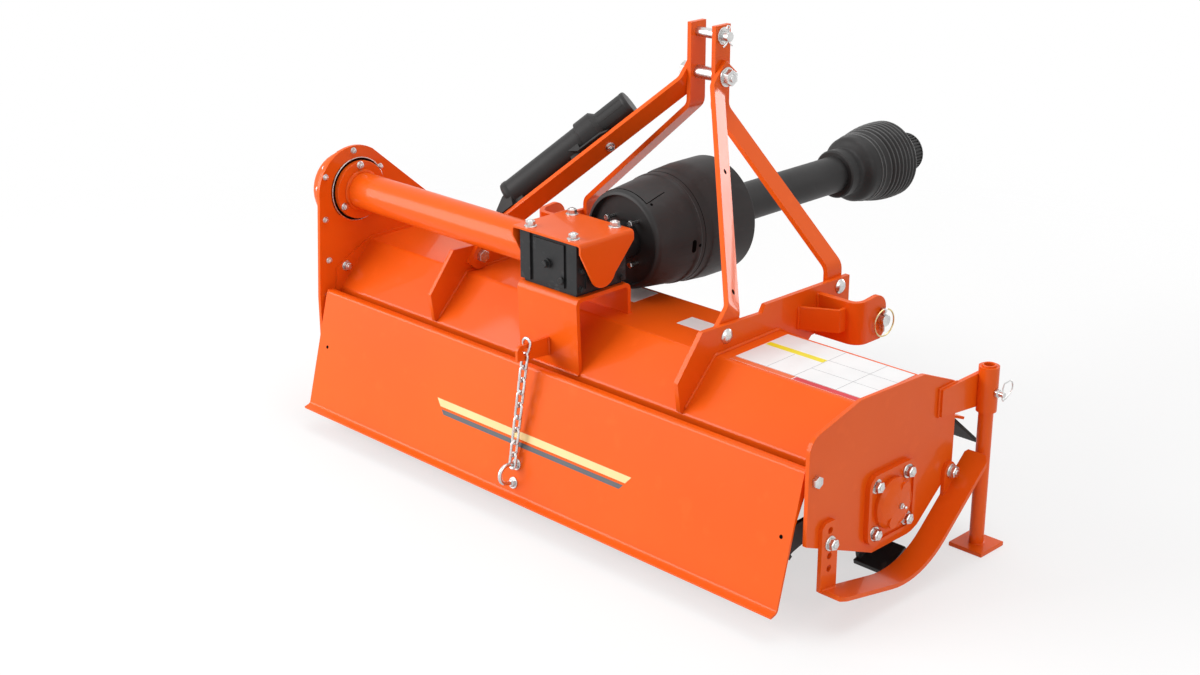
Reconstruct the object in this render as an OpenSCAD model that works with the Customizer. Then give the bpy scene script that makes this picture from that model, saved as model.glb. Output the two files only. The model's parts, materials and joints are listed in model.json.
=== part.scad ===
// Three-point rotary tiller, driven by the tractor's power take-off.
// X runs to the machine's right, Y forward to the tractor, Z up.
// The floor is Z = 0: the parked machine rests on its tines and on its stand.

/* [Rotor] */
// Radius that the tine tips sweep
rotor_r = 168; // [160:1:180]
// Radius of the rotor's tube
shaft_r = 36; // [30:1:42]
// Radius of the stub shafts in the bearings
stub_r = 22; // [18:1:26]
// Radius of a tine flange
hub_r = 84; // [78:1:90]
// Thickness of a tine flange
hub_t = 8; // [6:1:10]
// Number of tine flanges
hub_n = 7; // [4:1:7]
// Distance of the outer flanges from the side plates
hub_edge = 86; // [84:1:100]
// Tines on each side of a flange
tines_side = 2; // [2:1:3]
// Thickness of a tine
tine_t = 8; // [6:1:10]
// Sideways reach of a tine from its flange
tine_reach = 66; // [50:1:75]
// Width of a tine's shank
tine_w = 46; // [36:1:50]
// Angle that a tine's leg covers
tine_leg_deg = 24; // [16:2:26]
// Backward sweep of a tine
tine_sweep = 34; // [20:1:40]
// Angle at which the rotor is parked
rotor_park = -6; // [-12:1:12]

/* [Housing] */
// Clear width between the side plates
inner_w = 1276; // [1200:1:1400]
// Sideways shift of the housing from the hitch's middle
side_shift = 9; // [0:1:20]
// Thickness of the side plates
plate_t = 8; // [6:1:10]
// Thickness of the deck sheet
deck_t = 5; // [3:0.5:6]
// Clearance between the tines' circle and the deck's rear bend
deck_gap = 30; // [25:1:45]
// Fall of the deck from its front bend to its rear bend
deck_fall = 3; // [0:1:12]
// Rear bend of the deck
deck_bend_y = -82; // [-95:1:-70]
// Front bend of the deck
deck_front_y = 88; // [80:1:95]
// Rear edge of the deck
deck_rear_y = -165; // [-170:1:-160]
// Drop of the deck from its rear bend to its rear edge
deck_drop = 85; // [75:1:95]
// Depth of the deck's rear lip
deck_lip = 24; // [15:1:30]
// Where the deck turns down in front
knee_y = 172; // [165:1:178]
// Drop of the deck from its front bend to the knee
knee_drop = 48; // [46:1:56]
// Depth of the front apron below the knee
apron_h = 53; // [45:1:65]
// Forward reach of the apron's flange
apron_flange = 42; // [30:1:50]
// Inside radius of the sheet bends
bend_r = 10; // [6:1:14]
// Height that the side plates stand above the deck
plate_lip = 12; // [8:1:14]
// Distance from the rotor's axis to a side plate's lower edge
plate_low = 84.5; // [78:0.5:95]
// Rear edge of the side plates
plate_rear_y = -217; // [-225:1:-214]
// Front edge of the side plates
plate_front_y = 185; // [182:1:195]

/* [Drive] */
// Height of the gearbox's axes above the deck
gear_up = 112; // [108:1:120]
// Drive tube's axis, fore and aft
tube_y = -106; // [-112:1:-98]
// Radius of the drive tube
tube_r = 37.5; // [32:0.5:42]
// Radius of the drive tube's flange
tube_flange_r = 60; // [54:1:62]
// Radius of the left plate's round top
case_r = 92; // [88:1:98]
// Depth of the chain case's cover
case_depth = 46; // [40:1:60]
// Width of the gearbox
gear_w = 148; // [130:1:160]
// Length of the gearbox
gear_l = 125; // [110:1:135]
// Height of the gearbox
gear_h = 100; // [90:1:110]
// Thickness of the gearbox's saddle
saddle_t = 8; // [6:1:10]
// Radius of the clutch shield in front
shield_r = 115; // [110:1:118]
// Length of the clutch shield
shield_l = 250; // [220:1:270]
// Wall of the clutch shield
shield_t = 4; // [3:0.5:6]
// Rear end of the clutch shield
shield_y = 24; // [18:1:30]
// Centre of the universal joint
joint_y = 150; // [140:1:165]
// Radius of the sliding outer guard tube
guard_r = 38.5; // [36:0.5:42]
// Wall of the guard tubes
guard_t = 4.5; // [3:0.5:6]
// Rear end of the outer guard tube
guard_y = 235; // [230:1:250]
// Start of the bell's collar
bell_y = 660; // [620:1:700]
// Radius of the bell
bell_r = 82; // [76:1:86]
// Length of the bell with its collar
bell_l = 186; // [170:1:200]
// Radius of the coupling's grip
grip_r = 42; // [38:1:46]
// Radius of the coupling's bore
pto_r = 17.5; // [17:0.05:18]
// Length of the coupling's bore
pto_l = 70; // [50:1:76]
// Running clearance of turning and sliding pieces
run_gap = 0.3; // [0.2:0.05:0.4]

/* [Hitch] */
// Outer faces of the hitch plates from the middle
hitch_x = 332; // [325:1:345]
// Thickness of the hitch plates and bars
hitch_t = 10; // [8:1:12]
// Radius of the lower hitch pins
low_pin_r = 11; // [10.5:0.5:14]
// Lower hitch pins, forward of the rotor's axis
low_pin_y = 265; // [255:1:275]
// Lower hitch pins, above the deck
low_pin_up = 2; // [-6:1:8]
// Clear gap for a lower link
low_gap = 86; // [60:1:95]
// Radius of the upper hitch pin
top_pin_r = 9.5; // [9.5:0.5:12.5]
// Upper hitch pin, above the deck
top_pin_up = 469; // [440:1:490]
// Mast, forward of the rotor's axis
mast_y = 260; // [250:1:266]
// Clear gap between the mast's ears
mast_gap = 52; // [50:1:60]
// Width of the front struts
strut_w = 42; // [38:1:46]
// Width of the rear braces
brace_w = 42; // [38:1:50]
// Radius of the mast's bolts
bolt_r = 8; // [6:0.5:9]

/* [Tailboard] */
// Hinge line, rear of the rotor's axis
hinge_y = -199; // [-205:1:-196]
// Hinge line below the deck's rear edge
hinge_drop = 11; // [8:1:16]
// Height of the tailboard
tail_h = 242; // [210:1:250]
// Backward lean of the tailboard
tail_lean = 14.6; // [10:0.2:18]
// Thickness of the tailboard's sheet
tail_t = 4; // [3:0.5:6]
// Gap between the tailboard and the side plates
tail_gap = 9.5; // [9.5:0.5:12]
// Radius of the hinge bolts
hinge_r = 5; // [4:0.5:5.5]

/* [Skids and stand] */
// Distance from the rotor's axis down to the skids' soles
skid_drop = 105.5; // [95:0.5:115]
// Width of a skid runner
skid_w = 50; // [40:1:60]
// Thickness of a skid runner
skid_t = 8; // [6:1:10]
// Pitch of the skid strap's holes
skid_pitch = 23; // [20:1:26]
// Radius of the stand's leg
leg_r = 13.35; // [12:0.05:15]
// Radius of the stand's sleeve
sleeve_r = 18.5; // [17:0.5:22]
// Length of the stand's sleeve
sleeve_l = 84; // [70:1:95]
// Stand, forward of the rotor's axis
stand_y = 250; // [235:1:260]
// Underside of the sleeve above the rotor's axis
sleeve_z = 97; // [90:1:105]
// Side of the stand's foot
foot_w = 70; // [60:1:80]
// Thickness of the stand's foot
foot_t = 8; // [6:1:10]

/* [Chain and canister] */
// Radius of the chain's wire
wire_r = 2.8; // [2.4:0.1:3.2]
// Pitch of the chain's links
link_pitch = 24; // [22:0.5:30]
// Radius of the manual canister
can_r = 32; // [25:1:34]
// Length of the manual canister
can_l = 305; // [260:1:320]

/* [Hidden] */
$fn = 48;
paint = [0.91, 0.36, 0.13];
charcoal = [0.17, 0.17, 0.18];
zinc = [0.75, 0.76, 0.78];

az = rotor_r;                          // rotor axis above the floor
xr = side_shift + inner_w/2;           // inside faces of the side plates
xl = side_shift - inner_w/2;
deck_z = az + rotor_r + deck_gap;      // deck top at its rear bend
gz = deck_z + gear_up;                 // gearbox axes
front_z = deck_z + deck_fall;          // deck top at its front bend
rear_z = deck_z - deck_drop;           // deck top at its rear edge
knee_z = front_z - knee_drop;
apron_z = knee_z - apron_h;
pivot = [hinge_y, rear_z - hinge_drop];       // tailboard hinge line
sole_z = az - skid_drop;
mast_x = mast_gap/2 + hitch_t/2;       // middle of a mast ear
foot_x = hitch_x - hitch_t*1.5;        // middle of a strut's foot
stand_x = xr + plate_t + 20;           // stand leg axis
tail_dir = [-sin(tail_lean), -cos(tail_lean)];
out = [-cos(tail_lean), sin(tail_lean)];
tail_top = pivot - tail_dir*14 + out*10;
tail_low = tail_top + tail_dir*tail_h;
tail_lip = 14;
coupling_y = bell_y + bell_l + 80;
staple_h = 36;
staple_r = 4;
staple_at = tail_top + tail_dir*tail_h*0.765;
staple_low = staple_at + tail_dir*staple_h;
bow_mid = (staple_at + staple_low)/2 + out*20;
pin_out = 16;

// the origin lies on the floor, under the middle of the machine's outline
side_hi = max(xr + plate_t + skid_w, stand_x + foot_w/2, stand_x + sleeve_r + pin_out);
side_lo = min(xl - plate_t - case_depth, 2*side_shift - xr - plate_t - skid_w);
rear_lo = min(tail_low.x - tail_lip, bow_mid.x - staple_h/2 - staple_r);
origin = [(side_hi + side_lo)/2, (coupling_y + rear_lo)/2, 0];
module home() { translate(-origin) children(); }

// plane helpers: a unit vector, an arc, a rounded path and a sheet of even thickness
function unit(v) = v/norm(v);
function arc(c, r, a0, a1, n) = [for (i = [0:n]) let (a = a0 + (a1 - a0)*i/n) c + r*[cos(a), sin(a)]];
function turn(v, a) = [v.x*cos(a) - v.y*sin(a), v.x*sin(a) + v.y*cos(a)];
function corner(a, b, c, r, n) = let (
    u = unit(a - b), v = unit(c - b), half = acos(u*v)/2, m = b + unit(u + v)*(r/sin(half)),
    p = b + u*(r/tan(half)) - m, sweep = (180 - 2*half)*sign(v.x*u.y - v.y*u.x))
    [for (i = [0:n]) m + turn(p, sweep*i/n)];
function rounded(pts, r, n = 3) = [pts[0],
    for (i = [1:len(pts) - 2]) each corner(pts[i-1], pts[i], pts[i+1], r, n), pts[len(pts) - 1]];
function left_of(v) = [-v.y, v.x];
function beside(pts, d) = [for (i = [0:len(pts) - 1]) let (
    a = i > 0 ? left_of(unit(pts[i] - pts[i-1])) : left_of(unit(pts[1] - pts[0])),
    b = i < len(pts) - 1 ? left_of(unit(pts[i+1] - pts[i])) : a) pts[i] + (a + b)*d/(1 + a*b)];
function flip(l) = [for (i = [len(l) - 1:-1:0]) l[i]];
function strip(pts, d) = concat(pts, flip(beside(pts, d)));
function centred(pts, t) = concat(beside(pts, t/2), flip(beside(pts, -t/2)));

// a (y, z) outline between two planes of x, and rods along the three axes
module slab(x0, x1) { translate([x0, 0, 0]) rotate([90, 0, 90]) linear_extrude(x1 - x0) children(); }
module rod_x(x0, x1, r) { translate([x0, 0, 0]) rotate([0, 90, 0]) cylinder(r = r, h = x1 - x0); }
module rod_y(y0, y1, r) { translate([0, y0, 0]) rotate([-90, 0, 0]) cylinder(r = r, h = y1 - y0); }
module box(a, b) { translate(a) cube(b - a); }
module both() { children(); mirror([1, 0, 0]) children(); }
module left_side() { mirror([1, 0, 0]) children(); }

// housing
deck_path = [[deck_rear_y, rear_z - deck_lip], [deck_rear_y, rear_z], [deck_bend_y, deck_z],
    [deck_front_y, front_z], [knee_y, knee_z], [plate_front_y, knee_z - 12], [plate_front_y, apron_z],
    [plate_front_y + apron_flange, apron_z - 17]];
deck_top = [for (i = [1:4]) deck_path[i]];

module deck() {
    color(paint) home() {
        slab(xl, xr) polygon(strip(rounded(deck_path, bend_r), -deck_t));
        slab(xl, xl + 4) polygon(concat([[deck_rear_y, rear_z - 4], [deck_rear_y - 14, rear_z - 4],
            [deck_rear_y - 8, rear_z + 43], [deck_rear_y + 8, rear_z + 53]],
            [for (p = [deck_top[1], deck_top[2]]) p + [0, 6]],
            flip([for (p = [deck_top[1], deck_top[2]]) p - [0, 3]])));
    }
}

function lower_edge() = [[plate_front_y, az + 14], [158, az - 20], [90, az - 76], [74, az - plate_low + 2],
    [62, az - plate_low], [-38, az - plate_low], [plate_rear_y, az - 10]];
strap_y = -165;
strap_front = [172, az + 2];

module end_plate_right() {
    color(paint) home() difference() {
        slab(xr, xr + plate_t) polygon(concat(lower_edge(),
            arc([plate_rear_y + 34, deck_z - 48], 34, 180, 112, 4),
            [[deck_bend_y - 6, deck_z + plate_lip], [deck_front_y, front_z + plate_lip/3],
            [plate_front_y - 8, knee_z + 16], [plate_front_y, knee_z + 6]]));
        translate([0, 0, az]) rod_x(xr - 1, xr + plate_t + 1, stub_r + 12);
        translate([0, pivot.x, pivot.y]) rod_x(xr - 1, xr + plate_t + 1, hinge_r);
    }
}

// the left plate rises round the drive tube
case_y = tube_y - 7;
module left_outline() {
    polygon(concat(lower_edge(), [[plate_rear_y, az + 100]],
        arc([case_y, gz], case_r, 184, 58, 14), [[deck_front_y + 54, front_z + 10],
        [plate_front_y, knee_z + 6]]));
}

module side_plate_left() {
    color(paint) home() difference() {
        union() {
            slab(xl - plate_t, xl) left_outline();
            translate([0, 0, az]) rod_x(xl, xl + 4, stub_r + 22);
        }
        translate([0, 0, az]) rod_x(xl - plate_t - 1, xl + 5, stub_r + run_gap);
        translate([0, pivot.x, pivot.y]) rod_x(xl - plate_t - 1, xl + 1, hinge_r);
        slab(xl - plate_t - 1, xl + 1) polygon(concat(
            arc([tube_y - 3, gz], tube_flange_r + 6, 110, 225, 10),
            arc([tube_y, gz], tube_flange_r + 1, 225, 110, 10)));
    }
}

module pear(x0, x1, top_r, low_r) {
    hull() {
        translate([0, case_y, gz]) rod_x(x0, x1, top_r, $fn = 40);
        translate([0, 0, az]) rod_x(x0, x1, low_r, $fn = 40);
    }
}

module chain_case() {
    x0 = xl - plate_t;
    x1 = x0 - case_depth;
    top = case_r - 18;
    low = plate_low - 8;
    color(paint) home() difference() {
        union() {
            hull() {
                pear(x1 + 16, x0, top, low);
                pear(x1 + 5, x0, top - 4, low - 4);
                pear(x1, x0, top - 14, low - 14);
            }
            pear(x0 - 5, x0, case_r - 2, plate_low - 1);
        }
        translate([0, 0, az]) rod_x(x0 - 16, x0 + 1, stub_r + 6);
    }
}

// drive line from the gearbox to the chain case
module drive_tube() {
    color(paint) home() translate([0, tube_y, gz]) {
        rod_x(xl, -gear_w/2, tube_r);
        rod_x(xl, xl + 12, tube_flange_r);
        rod_x(-gear_w/2 - 8, -gear_w/2, tube_r + 10);
    }
}

gear_y0 = tube_y - gear_l/2 + 3;
gear_y1 = gear_y0 + gear_l;
gear_z0 = gz - gear_h/2;
gear_z1 = gz + gear_h/2;
neck_r = 36;
neck_in = 18;
shaft_in = 40;
module gearbox() {
    w = gear_w/2;
    color(charcoal) home() {
        box([-w + 6, gear_y0 + 5, gear_z0], [w - 6, gear_y1 - 5, gear_z1 - 3]);
        for (s = [-1, 1]) box([s*(w - 13) - 13, gear_y0, gear_z0 + 6], [s*(w - 13) + 13, gear_y1, gear_z1]);
        for (k = [-1:1]) box([w - 3, tube_y + k*34 - 5, gear_z0 + 12],
            [w + 3, tube_y + k*34 + 5, gear_z1 - 9]);
        box([-w + 34, gear_y0 + 1, gear_z0 + 10], [w - 34, gear_y0 + 14, gear_z1 - 9]);
        translate([0, 0, gz]) {
            rod_y(gear_y0 - 5, gear_y0 + 7, 9);
            rod_y(gear_y1 - 12, gear_y1 + 14, 46);
            rod_y(gear_y1 + 2, shield_y + neck_in, neck_r);
            rod_y(gear_y1 + 4, shield_y + shaft_in, pto_r);
        }
    }
}

guard_w = gear_w + 34;
module gearbox_guard() {
    y0 = gear_y0 - 6;
    y1 = gear_y1 + 5;
    t = 5;
    drop = 92;
    color(paint) home() difference() {
        union() {
            translate([0, y1, 0]) rotate([90, 0, 0]) linear_extrude(y1 - y0)
                polygon(strip(rounded([[-guard_w/2, gear_z1 - 14], [-guard_w/2, gear_z1 + t],
                    [guard_w/2, gear_z1 + t], [guard_w/2, gear_z1 - 14]], 8), -t));
            for (s = [-1, 1]) translate([s*(guard_w/2 - t/2), 0, 0]) slab(-t/2, t/2)
                polygon(concat([[y1, gear_z1 - 14], [y0, gear_z1 - 14]],
                    arc([tube_y - 8, gear_z1 - drop + 36], 32, 200, 340, 8)));
        }
        translate([0, tube_y, gz]) rod_x(-guard_w, -gear_w/2, tube_r + 1);
        box([-guard_w, tube_y - 18, gz - gear_h], [-gear_w/2, tube_y + 18, gz]);
    }
}

saddle_w = gear_w + 8;
saddle_y = gear_y0 - 6;
saddle_low = rear_z - 6;
function wall_y(z) = saddle_y + (deck_rear_y - saddle_y)*(gear_z0 - z)/(gear_z0 - saddle_low);
module gearbox_saddle() {
    y1 = gear_y1 + 10;
    color(paint) home() difference() {
        slab(-saddle_w/2, saddle_w/2) polygon(strip(rounded([[y1, deck_z - 12], [y1, gear_z0],
            [saddle_y, gear_z0], [deck_rear_y, saddle_low]], bend_r + 4), saddle_t));
        slab(-saddle_w, saddle_w) polygon(concat([[deck_rear_y, rear_z - 40]], deck_top,
            [[knee_y, rear_z - 40]]));
    }
}

// clutch shield: a rolled rear rim, a web on the gearbox's neck and a wall that widens forward
module clutch_shield() {
    rear = shield_r - 19;
    rim = 10;
    full = 181;
    wall = function(y) rear + (shield_r - rear)*(y - rim)/(full - rim);
    color(charcoal) home() translate([0, shield_y, gz]) rotate([-90, 0, 0]) rotate_extrude($fn = 64)
        polygon(concat([[neck_r + run_gap, 12], [rear - rim, 12]], arc([rear - rim, rim], rim, -90, 0, 4),
            [[wall(96), 96], [wall(98) + 1.5, 98], [wall(106) + 1.5, 106],
            [wall(108), 108], [wall(134), 134],
            [wall(136) + 1.5, 136], [shield_r, full], [shield_r, shield_l], [shield_r - shield_t, shield_l],
            [shield_r - shield_t, full], [rear - shield_t, 24],
            [rear - shield_t - 4, 17], [neck_r + run_gap, 17]]));
}

// friction clutch with the fixed yoke of the universal joint
yoke_x = 28;
yoke_t = 10;
pin_r = 8;
module yoke_ears(y0) {
    for (s = [-1, 1]) translate([0, 0, s*(yoke_x + yoke_t/2)]) difference() {
        union() {
            box([-16, y0 < joint_y ? y0 : joint_y, -yoke_t/2], [16, y0 < joint_y ? joint_y : y0, yoke_t/2]);
            translate([0, joint_y, -yoke_t/2]) cylinder(r = 16, h = yoke_t);
        }
        translate([0, joint_y, -yoke_t]) cylinder(r = pin_r + run_gap, h = 2*yoke_t);
    }
}

module clutch_hub() {
    y0 = shield_y + neck_in + 4;
    color(charcoal) home() translate([0, 0, gz]) {
        difference() {
            union() {
                rod_y(y0, y0 + 12, 78);
                rod_y(y0 + 12, y0 + 26, 70);
                rod_y(y0 + 26, y0 + 38, 78);
                rod_y(y0 + 38, y0 + 60, 44);
            }
            rod_y(y0 - 1, shield_y + shaft_in, pto_r);
        }
        yoke_ears(y0 + 58);
    }
}

module ujoint_cross() {
    p = yoke_x + yoke_t;
    color(zinc) home() translate([0, joint_y, gz]) {
        cube(30, center = true);
        translate([0, 0, -p]) cylinder(r = pin_r, h = 2*p);
        rod_x(-p, p, pin_r);
    }
}

base_y = joint_y + 42;
module shaft_yoke() {
    color(charcoal) home() translate([0, 0, gz]) {
        rotate([0, 90, 0]) yoke_ears(base_y + 2);
        rod_y(base_y, base_y + 12, 40);
    }
}

in_r = guard_r - guard_t - run_gap;
module guard_tube_inner() {
    color(charcoal) home() translate([0, 0, gz]) difference() {
        rod_y(base_y + 12, bell_y - 90, in_r);
        rod_y(base_y + 40, bell_y - 80, in_r - guard_t);
    }
}

module guard_tube_outer() {
    color(charcoal) home() translate([0, 0, gz]) difference() {
        union() {
            rod_y(guard_y, bell_y, guard_r);
            rod_y(guard_y, guard_y + 30, guard_r + 5);
        }
        rod_y(guard_y - 1, bell_y - 12, guard_r - guard_t);
        rod_y(bell_y - 20, bell_y + 1, 24 + run_gap);
    }
}

// ribbed bell over the tractor-side coupling
ridges = 8;
module guard_bell() {
    y1 = bell_l;
    wall = 4;
    rib = (y1 - 96)/ridges;
    swell = function(i) bell_r - 0.25*(i - 5)*(i - 5);
    color(charcoal) home() translate([0, bell_y, gz]) rotate([-90, 0, 0]) rotate_extrude($fn = 64)
        polygon(concat([[24 + run_gap, 0], [48, 0], [51, 3], [51, 22], [48, 26], [48, 36], [52, 42]],
            arc([bell_r - 28, 62], 16, -55, 0, 3), [[bell_r - 9, 92]],
            [for (i = [0:ridges - 1]) each [[swell(i), 96 + i*rib + rib*0.3],
                [swell(i), 96 + i*rib + rib*0.7], [swell(i) - 3, 96 + i*rib + rib]]],
            [[bell_r - 5 - wall - 4, y1], [bell_r - 9 - wall, 94], [46, 56], [40, 40], [24 + run_gap, 40]]));
}

module pto_coupling() {
    color(charcoal) home() translate([0, 0, gz]) difference() {
        union() {
            rod_y(bell_y - 10, coupling_y - pto_l - 6, 24);
            rod_y(coupling_y - pto_l - 14, coupling_y - 6, grip_r - 2);
            rod_y(coupling_y - 6, coupling_y, grip_r - 8);
            for (a = [0:10:359]) rotate([0, a, 0]) box([-1.8, coupling_y - 60, grip_r - 4],
                [1.8, coupling_y - 6, grip_r]);
        }
        rod_y(coupling_y - pto_l, coupling_y + 1, pto_r);
    }
}

// hitch plates on the deck
plate_top = deck_z + 51;
plate_step = 9;
step_y = 52;
hitch_front = low_pin_y + 28;
low_z = deck_z + low_pin_up;
rear_bolt = [-52, deck_z + 28];
front_bolt = [mast_y + 5, deck_z + 42];
module hitch_plate() {
    difference() {
        slab(hitch_x - hitch_t, hitch_x) polygon(concat(deck_top,
            [[plate_front_y, low_z - 36], [hitch_front, low_z - 30],
            [hitch_front, plate_top + plate_step - 2],
            [step_y, plate_top + plate_step], [step_y - 9, plate_top - 5], [deck_rear_y + 50, plate_top],
            [deck_rear_y - 12, rear_z + 58], [deck_rear_y - 4, rear_z + 4]]));
        for (p = [rear_bolt, front_bolt]) translate([0, p.x, p.y])
            rod_x(hitch_x - hitch_t - 1, hitch_x + 1, bolt_r);
        translate([0, low_pin_y, low_z]) rod_x(hitch_x - hitch_t - 1, hitch_x + 1, low_pin_r);
    }
}
module hitch_plate_right() { color(paint) home() hitch_plate(); }
module hitch_plate_left() { color(paint) home() left_side() hitch_plate(); }

// lower clevis: an angle welded to the hitch plate, with a folded gusset in the corner behind it
ear_x = hitch_x + low_gap;
web_back = 66;
web_y = low_pin_y - web_back;
gusset_t = 7;
module lower_clevis() {
    z0 = low_z - 38;
    z1 = low_z + 48;
    front = low_pin_y + 15;
    difference() {
        intersection() {
            translate([0, 0, z0]) linear_extrude(z1 - z0) polygon(strip(rounded([[hitch_x, web_y],
                [ear_x + hitch_t, web_y], [ear_x + hitch_t, front]], 26, 5), hitch_t));
            slab(hitch_x - 1, ear_x + 40) polygon(concat([[web_y - 1, z0], [front - 14, z0],
                [front, z0 + 14]], arc([front - 28, z1 - 28], 28, 0, 90, 6), [[web_y - 1, z1 - 6]]));
        }
        translate([0, low_pin_y, low_z]) rod_x(ear_x - 1, ear_x + hitch_t + 1, low_pin_r);
    }
    translate([0, 0, low_z - 14]) linear_extrude(44) intersection() {
        polygon(strip([[hitch_x - 9, web_y - 59], [ear_x - 20, web_y - 18],
            [ear_x - 20, web_y + 1]], gusset_t));
        translate([hitch_x, web_y - 80]) square([low_gap, 100]);
    }
}
module lower_clevis_right() { color(paint) home() lower_clevis(); }
module lower_clevis_left() { color(paint) home() left_side() lower_clevis(); }

module lower_pin() {
    translate([0, low_pin_y, low_z]) {
        rod_x(hitch_x - hitch_t, ear_x + hitch_t + 14, low_pin_r);
        rod_x(hitch_x - hitch_t - 8, hitch_x - hitch_t, low_pin_r + 6);
    }
}
module lower_pin_right() { color(zinc) home() lower_pin(); }
module lower_pin_left() { color(zinc) home() left_side() lower_pin(); }

// mast of bent flat bars: each is a strip in the plane of its bends, as wide as the bar
top_z = deck_z + top_pin_up;
mast_bolt = [mast_y, top_z - 77];
strut_top = 20;
module front_strut() {
    s1 = strut_top + 140;
    s2 = top_z + strut_top - front_bolt.y - 38;
    difference() {
        translate([0, mast_y, top_z + strut_top]) rotate([-90, 0, 0]) linear_extrude(strut_w, center = true)
            polygon(centred(rounded([[mast_x, 0], [mast_x, s1], [foot_x, s2],
                [foot_x, s2 + 56]], 22), hitch_t));
        for (p = [[mast_y, top_z, top_pin_r], [mast_bolt.x, mast_bolt.y, bolt_r]])
            translate([0, p.x, p.y]) rod_x(0, mast_x + hitch_t, p.z);
        translate([0, front_bolt.x, front_bolt.y]) rod_x(foot_x - hitch_t, foot_x + hitch_t, bolt_r);
    }
}
module front_strut_right() { color(paint) home() front_strut(); }
module front_strut_left() { color(paint) home() left_side() front_strut(); }

brace_run = mast_bolt - rear_bolt;
brace_len = norm(brace_run);
brace_tilt = -atan2(brace_run.x, brace_run.y);
brace_x = mast_x + hitch_t;
brace_a = [brace_x, 30];
brace_b = [foot_x, brace_len - 46];
module brace_frame() {
    translate([0, mast_bolt.x, mast_bolt.y]) rotate([brace_tilt - 90, 0, 0]) children();
}
module rear_brace() {
    difference() {
        brace_frame() linear_extrude(brace_w, center = true)
            polygon(centred(rounded([[brace_x, -24], brace_a, brace_b,
                [foot_x, brace_len + 28]], 20), hitch_t));
        translate([0, mast_bolt.x, mast_bolt.y]) rod_x(0, brace_x + hitch_t, bolt_r);
        translate([0, rear_bolt.x, rear_bolt.y]) rod_x(foot_x - hitch_t, foot_x + hitch_t, bolt_r);
        slab(0, hitch_x) polygon(concat([for (p = deck_top) p + [0, 1]], [[knee_y, 0], [deck_rear_y, 0]]));
    }
}
module rear_brace_right() { color(paint) home() rear_brace(); }
module rear_brace_left() { color(paint) home() left_side() rear_brace(); }

module top_pin() {
    e = mast_x + hitch_t/2;
    color(zinc) home() translate([0, mast_y, top_z]) {
        rod_x(-e - 6, e + 18, top_pin_r);
        rod_x(-e - 6, -e, top_pin_r + 4);
    }
}

module nut(r, h) { rotate([0, 90, 0]) cylinder(r = r, h = h, $fn = 6); }
module dome() {
    rotate([0, 90, 0]) rotate_extrude()
        polygon([[0, 0], [14, 0], [14, 1.5], [10, 5], [5, 6.6], [0, 7]]);
}

module mast_bolts() {
    e = brace_x + hitch_t/2;
    inside = foot_x - hitch_t/2 - 10;
    color(zinc) home() {
        translate([0, mast_bolt.x, mast_bolt.y]) {
            rod_x(-e - 18, e + 20, bolt_r);
            rod_x(-mast_gap/2, mast_gap/2, bolt_r + 5);
            both() {
                rod_x(e, e + 3, 19);
                translate([e + 3, 0, 0]) nut(16, 13);
            }
        }
        both() for (p = [rear_bolt, front_bolt]) translate([0, p.x, p.y]) {
            rod_x(inside, hitch_x, bolt_r);
            translate([inside, 0, 0]) nut(13, 10);
            translate([hitch_x, 0, 0]) dome();
        }
    }
}

// rotor
module bearing_cap() {
    x0 = xr + plate_t;
    color(paint) home() difference() {
        union() {
            slab(x0, x0 + 10) polygon(rounded_square(65, 22, az));
            translate([0, 0, az]) {
                rotate([0, 90, 0]) rotate_extrude()
                    polygon([[0, x0], [46, x0], [46, x0 + 13], [40, x0 + 20], [26, x0 + 26], [0, x0 + 27]]);
                for (a = [60, 240]) rotate([a, 0, 0]) translate([0, 30, 0]) rod_x(x0, x0 + 26, 12);
            }
        }
        slab(x0 + 6, x0 + 11) difference() {
            polygon(rounded_square(58, 18, az));
            translate([0, az]) circle(46);
        }
        translate([0, 0, az]) rod_x(x0 - 1, x0 + 18, stub_r + run_gap);
    }
}
function rounded_square(h, r, z) = [for (k = [0:3]) each
    [for (p = arc([h - r, h - r], r, 0, 90, 5)) turn(p, 90*k) + [0, z]]];

hub_pitch = (inner_w - 2*hub_edge)/(hub_n - 1);
hub_x0 = xl + hub_edge;
module rotor_shaft() {
    color(charcoal) home() translate([0, 0, az]) {
        rod_x(xl + 12, xr - 8, shaft_r);
        rod_x(xl - plate_t - 10, xr + plate_t + 16, stub_r);
        for (i = [0:hub_n - 1])
            rod_x(hub_x0 + i*hub_pitch - hub_t/2, hub_x0 + i*hub_pitch + hub_t/2, hub_r);
    }
}

// one tine along -Z: a swept shank against the flange and a leg along the tips' circle
tine_root = 46;
module tine() {
    n = 8;
    edge = function(t, s) let (r = tine_root + (rotor_r - tine_root)*t,
        a = -90 + tine_sweep*(1 - t)*(1 - t)*0.9 + s*(tine_w/2)*(0.9 + 0.25*t)/r*57.3) r*[cos(a), sin(a)];
    h = tine_leg_deg/2;
    slab(0, tine_t) polygon(concat([for (i = [0:n]) edge(i/n, -1)], [for (i = [n:-1:0]) edge(i/n, 1)]));
    slab(0, tine_reach) polygon(concat(arc([0, 0], rotor_r, -90 - h, -90 + h, 4),
        arc([0, 0], rotor_r - tine_t, -90 + h, -90 - h, 4)));
}

module tines() {
    step = 180/tines_side;
    color([0.10, 0.10, 0.11]) home() translate([0, 0, az])
        for (i = [0:hub_n - 1], k = [0:2*tines_side - 1]) {
        s = k % 2 == 0 ? 1 : -1;
        translate([hub_x0 + i*hub_pitch + s*hub_t/2, 0, 0])
            rotate([k*step + (i + 1)*step/3 + rotor_park, 0, 0]) mirror([s < 0 ? 1 : 0, 0, 0]) tine();
    }
}

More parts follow.
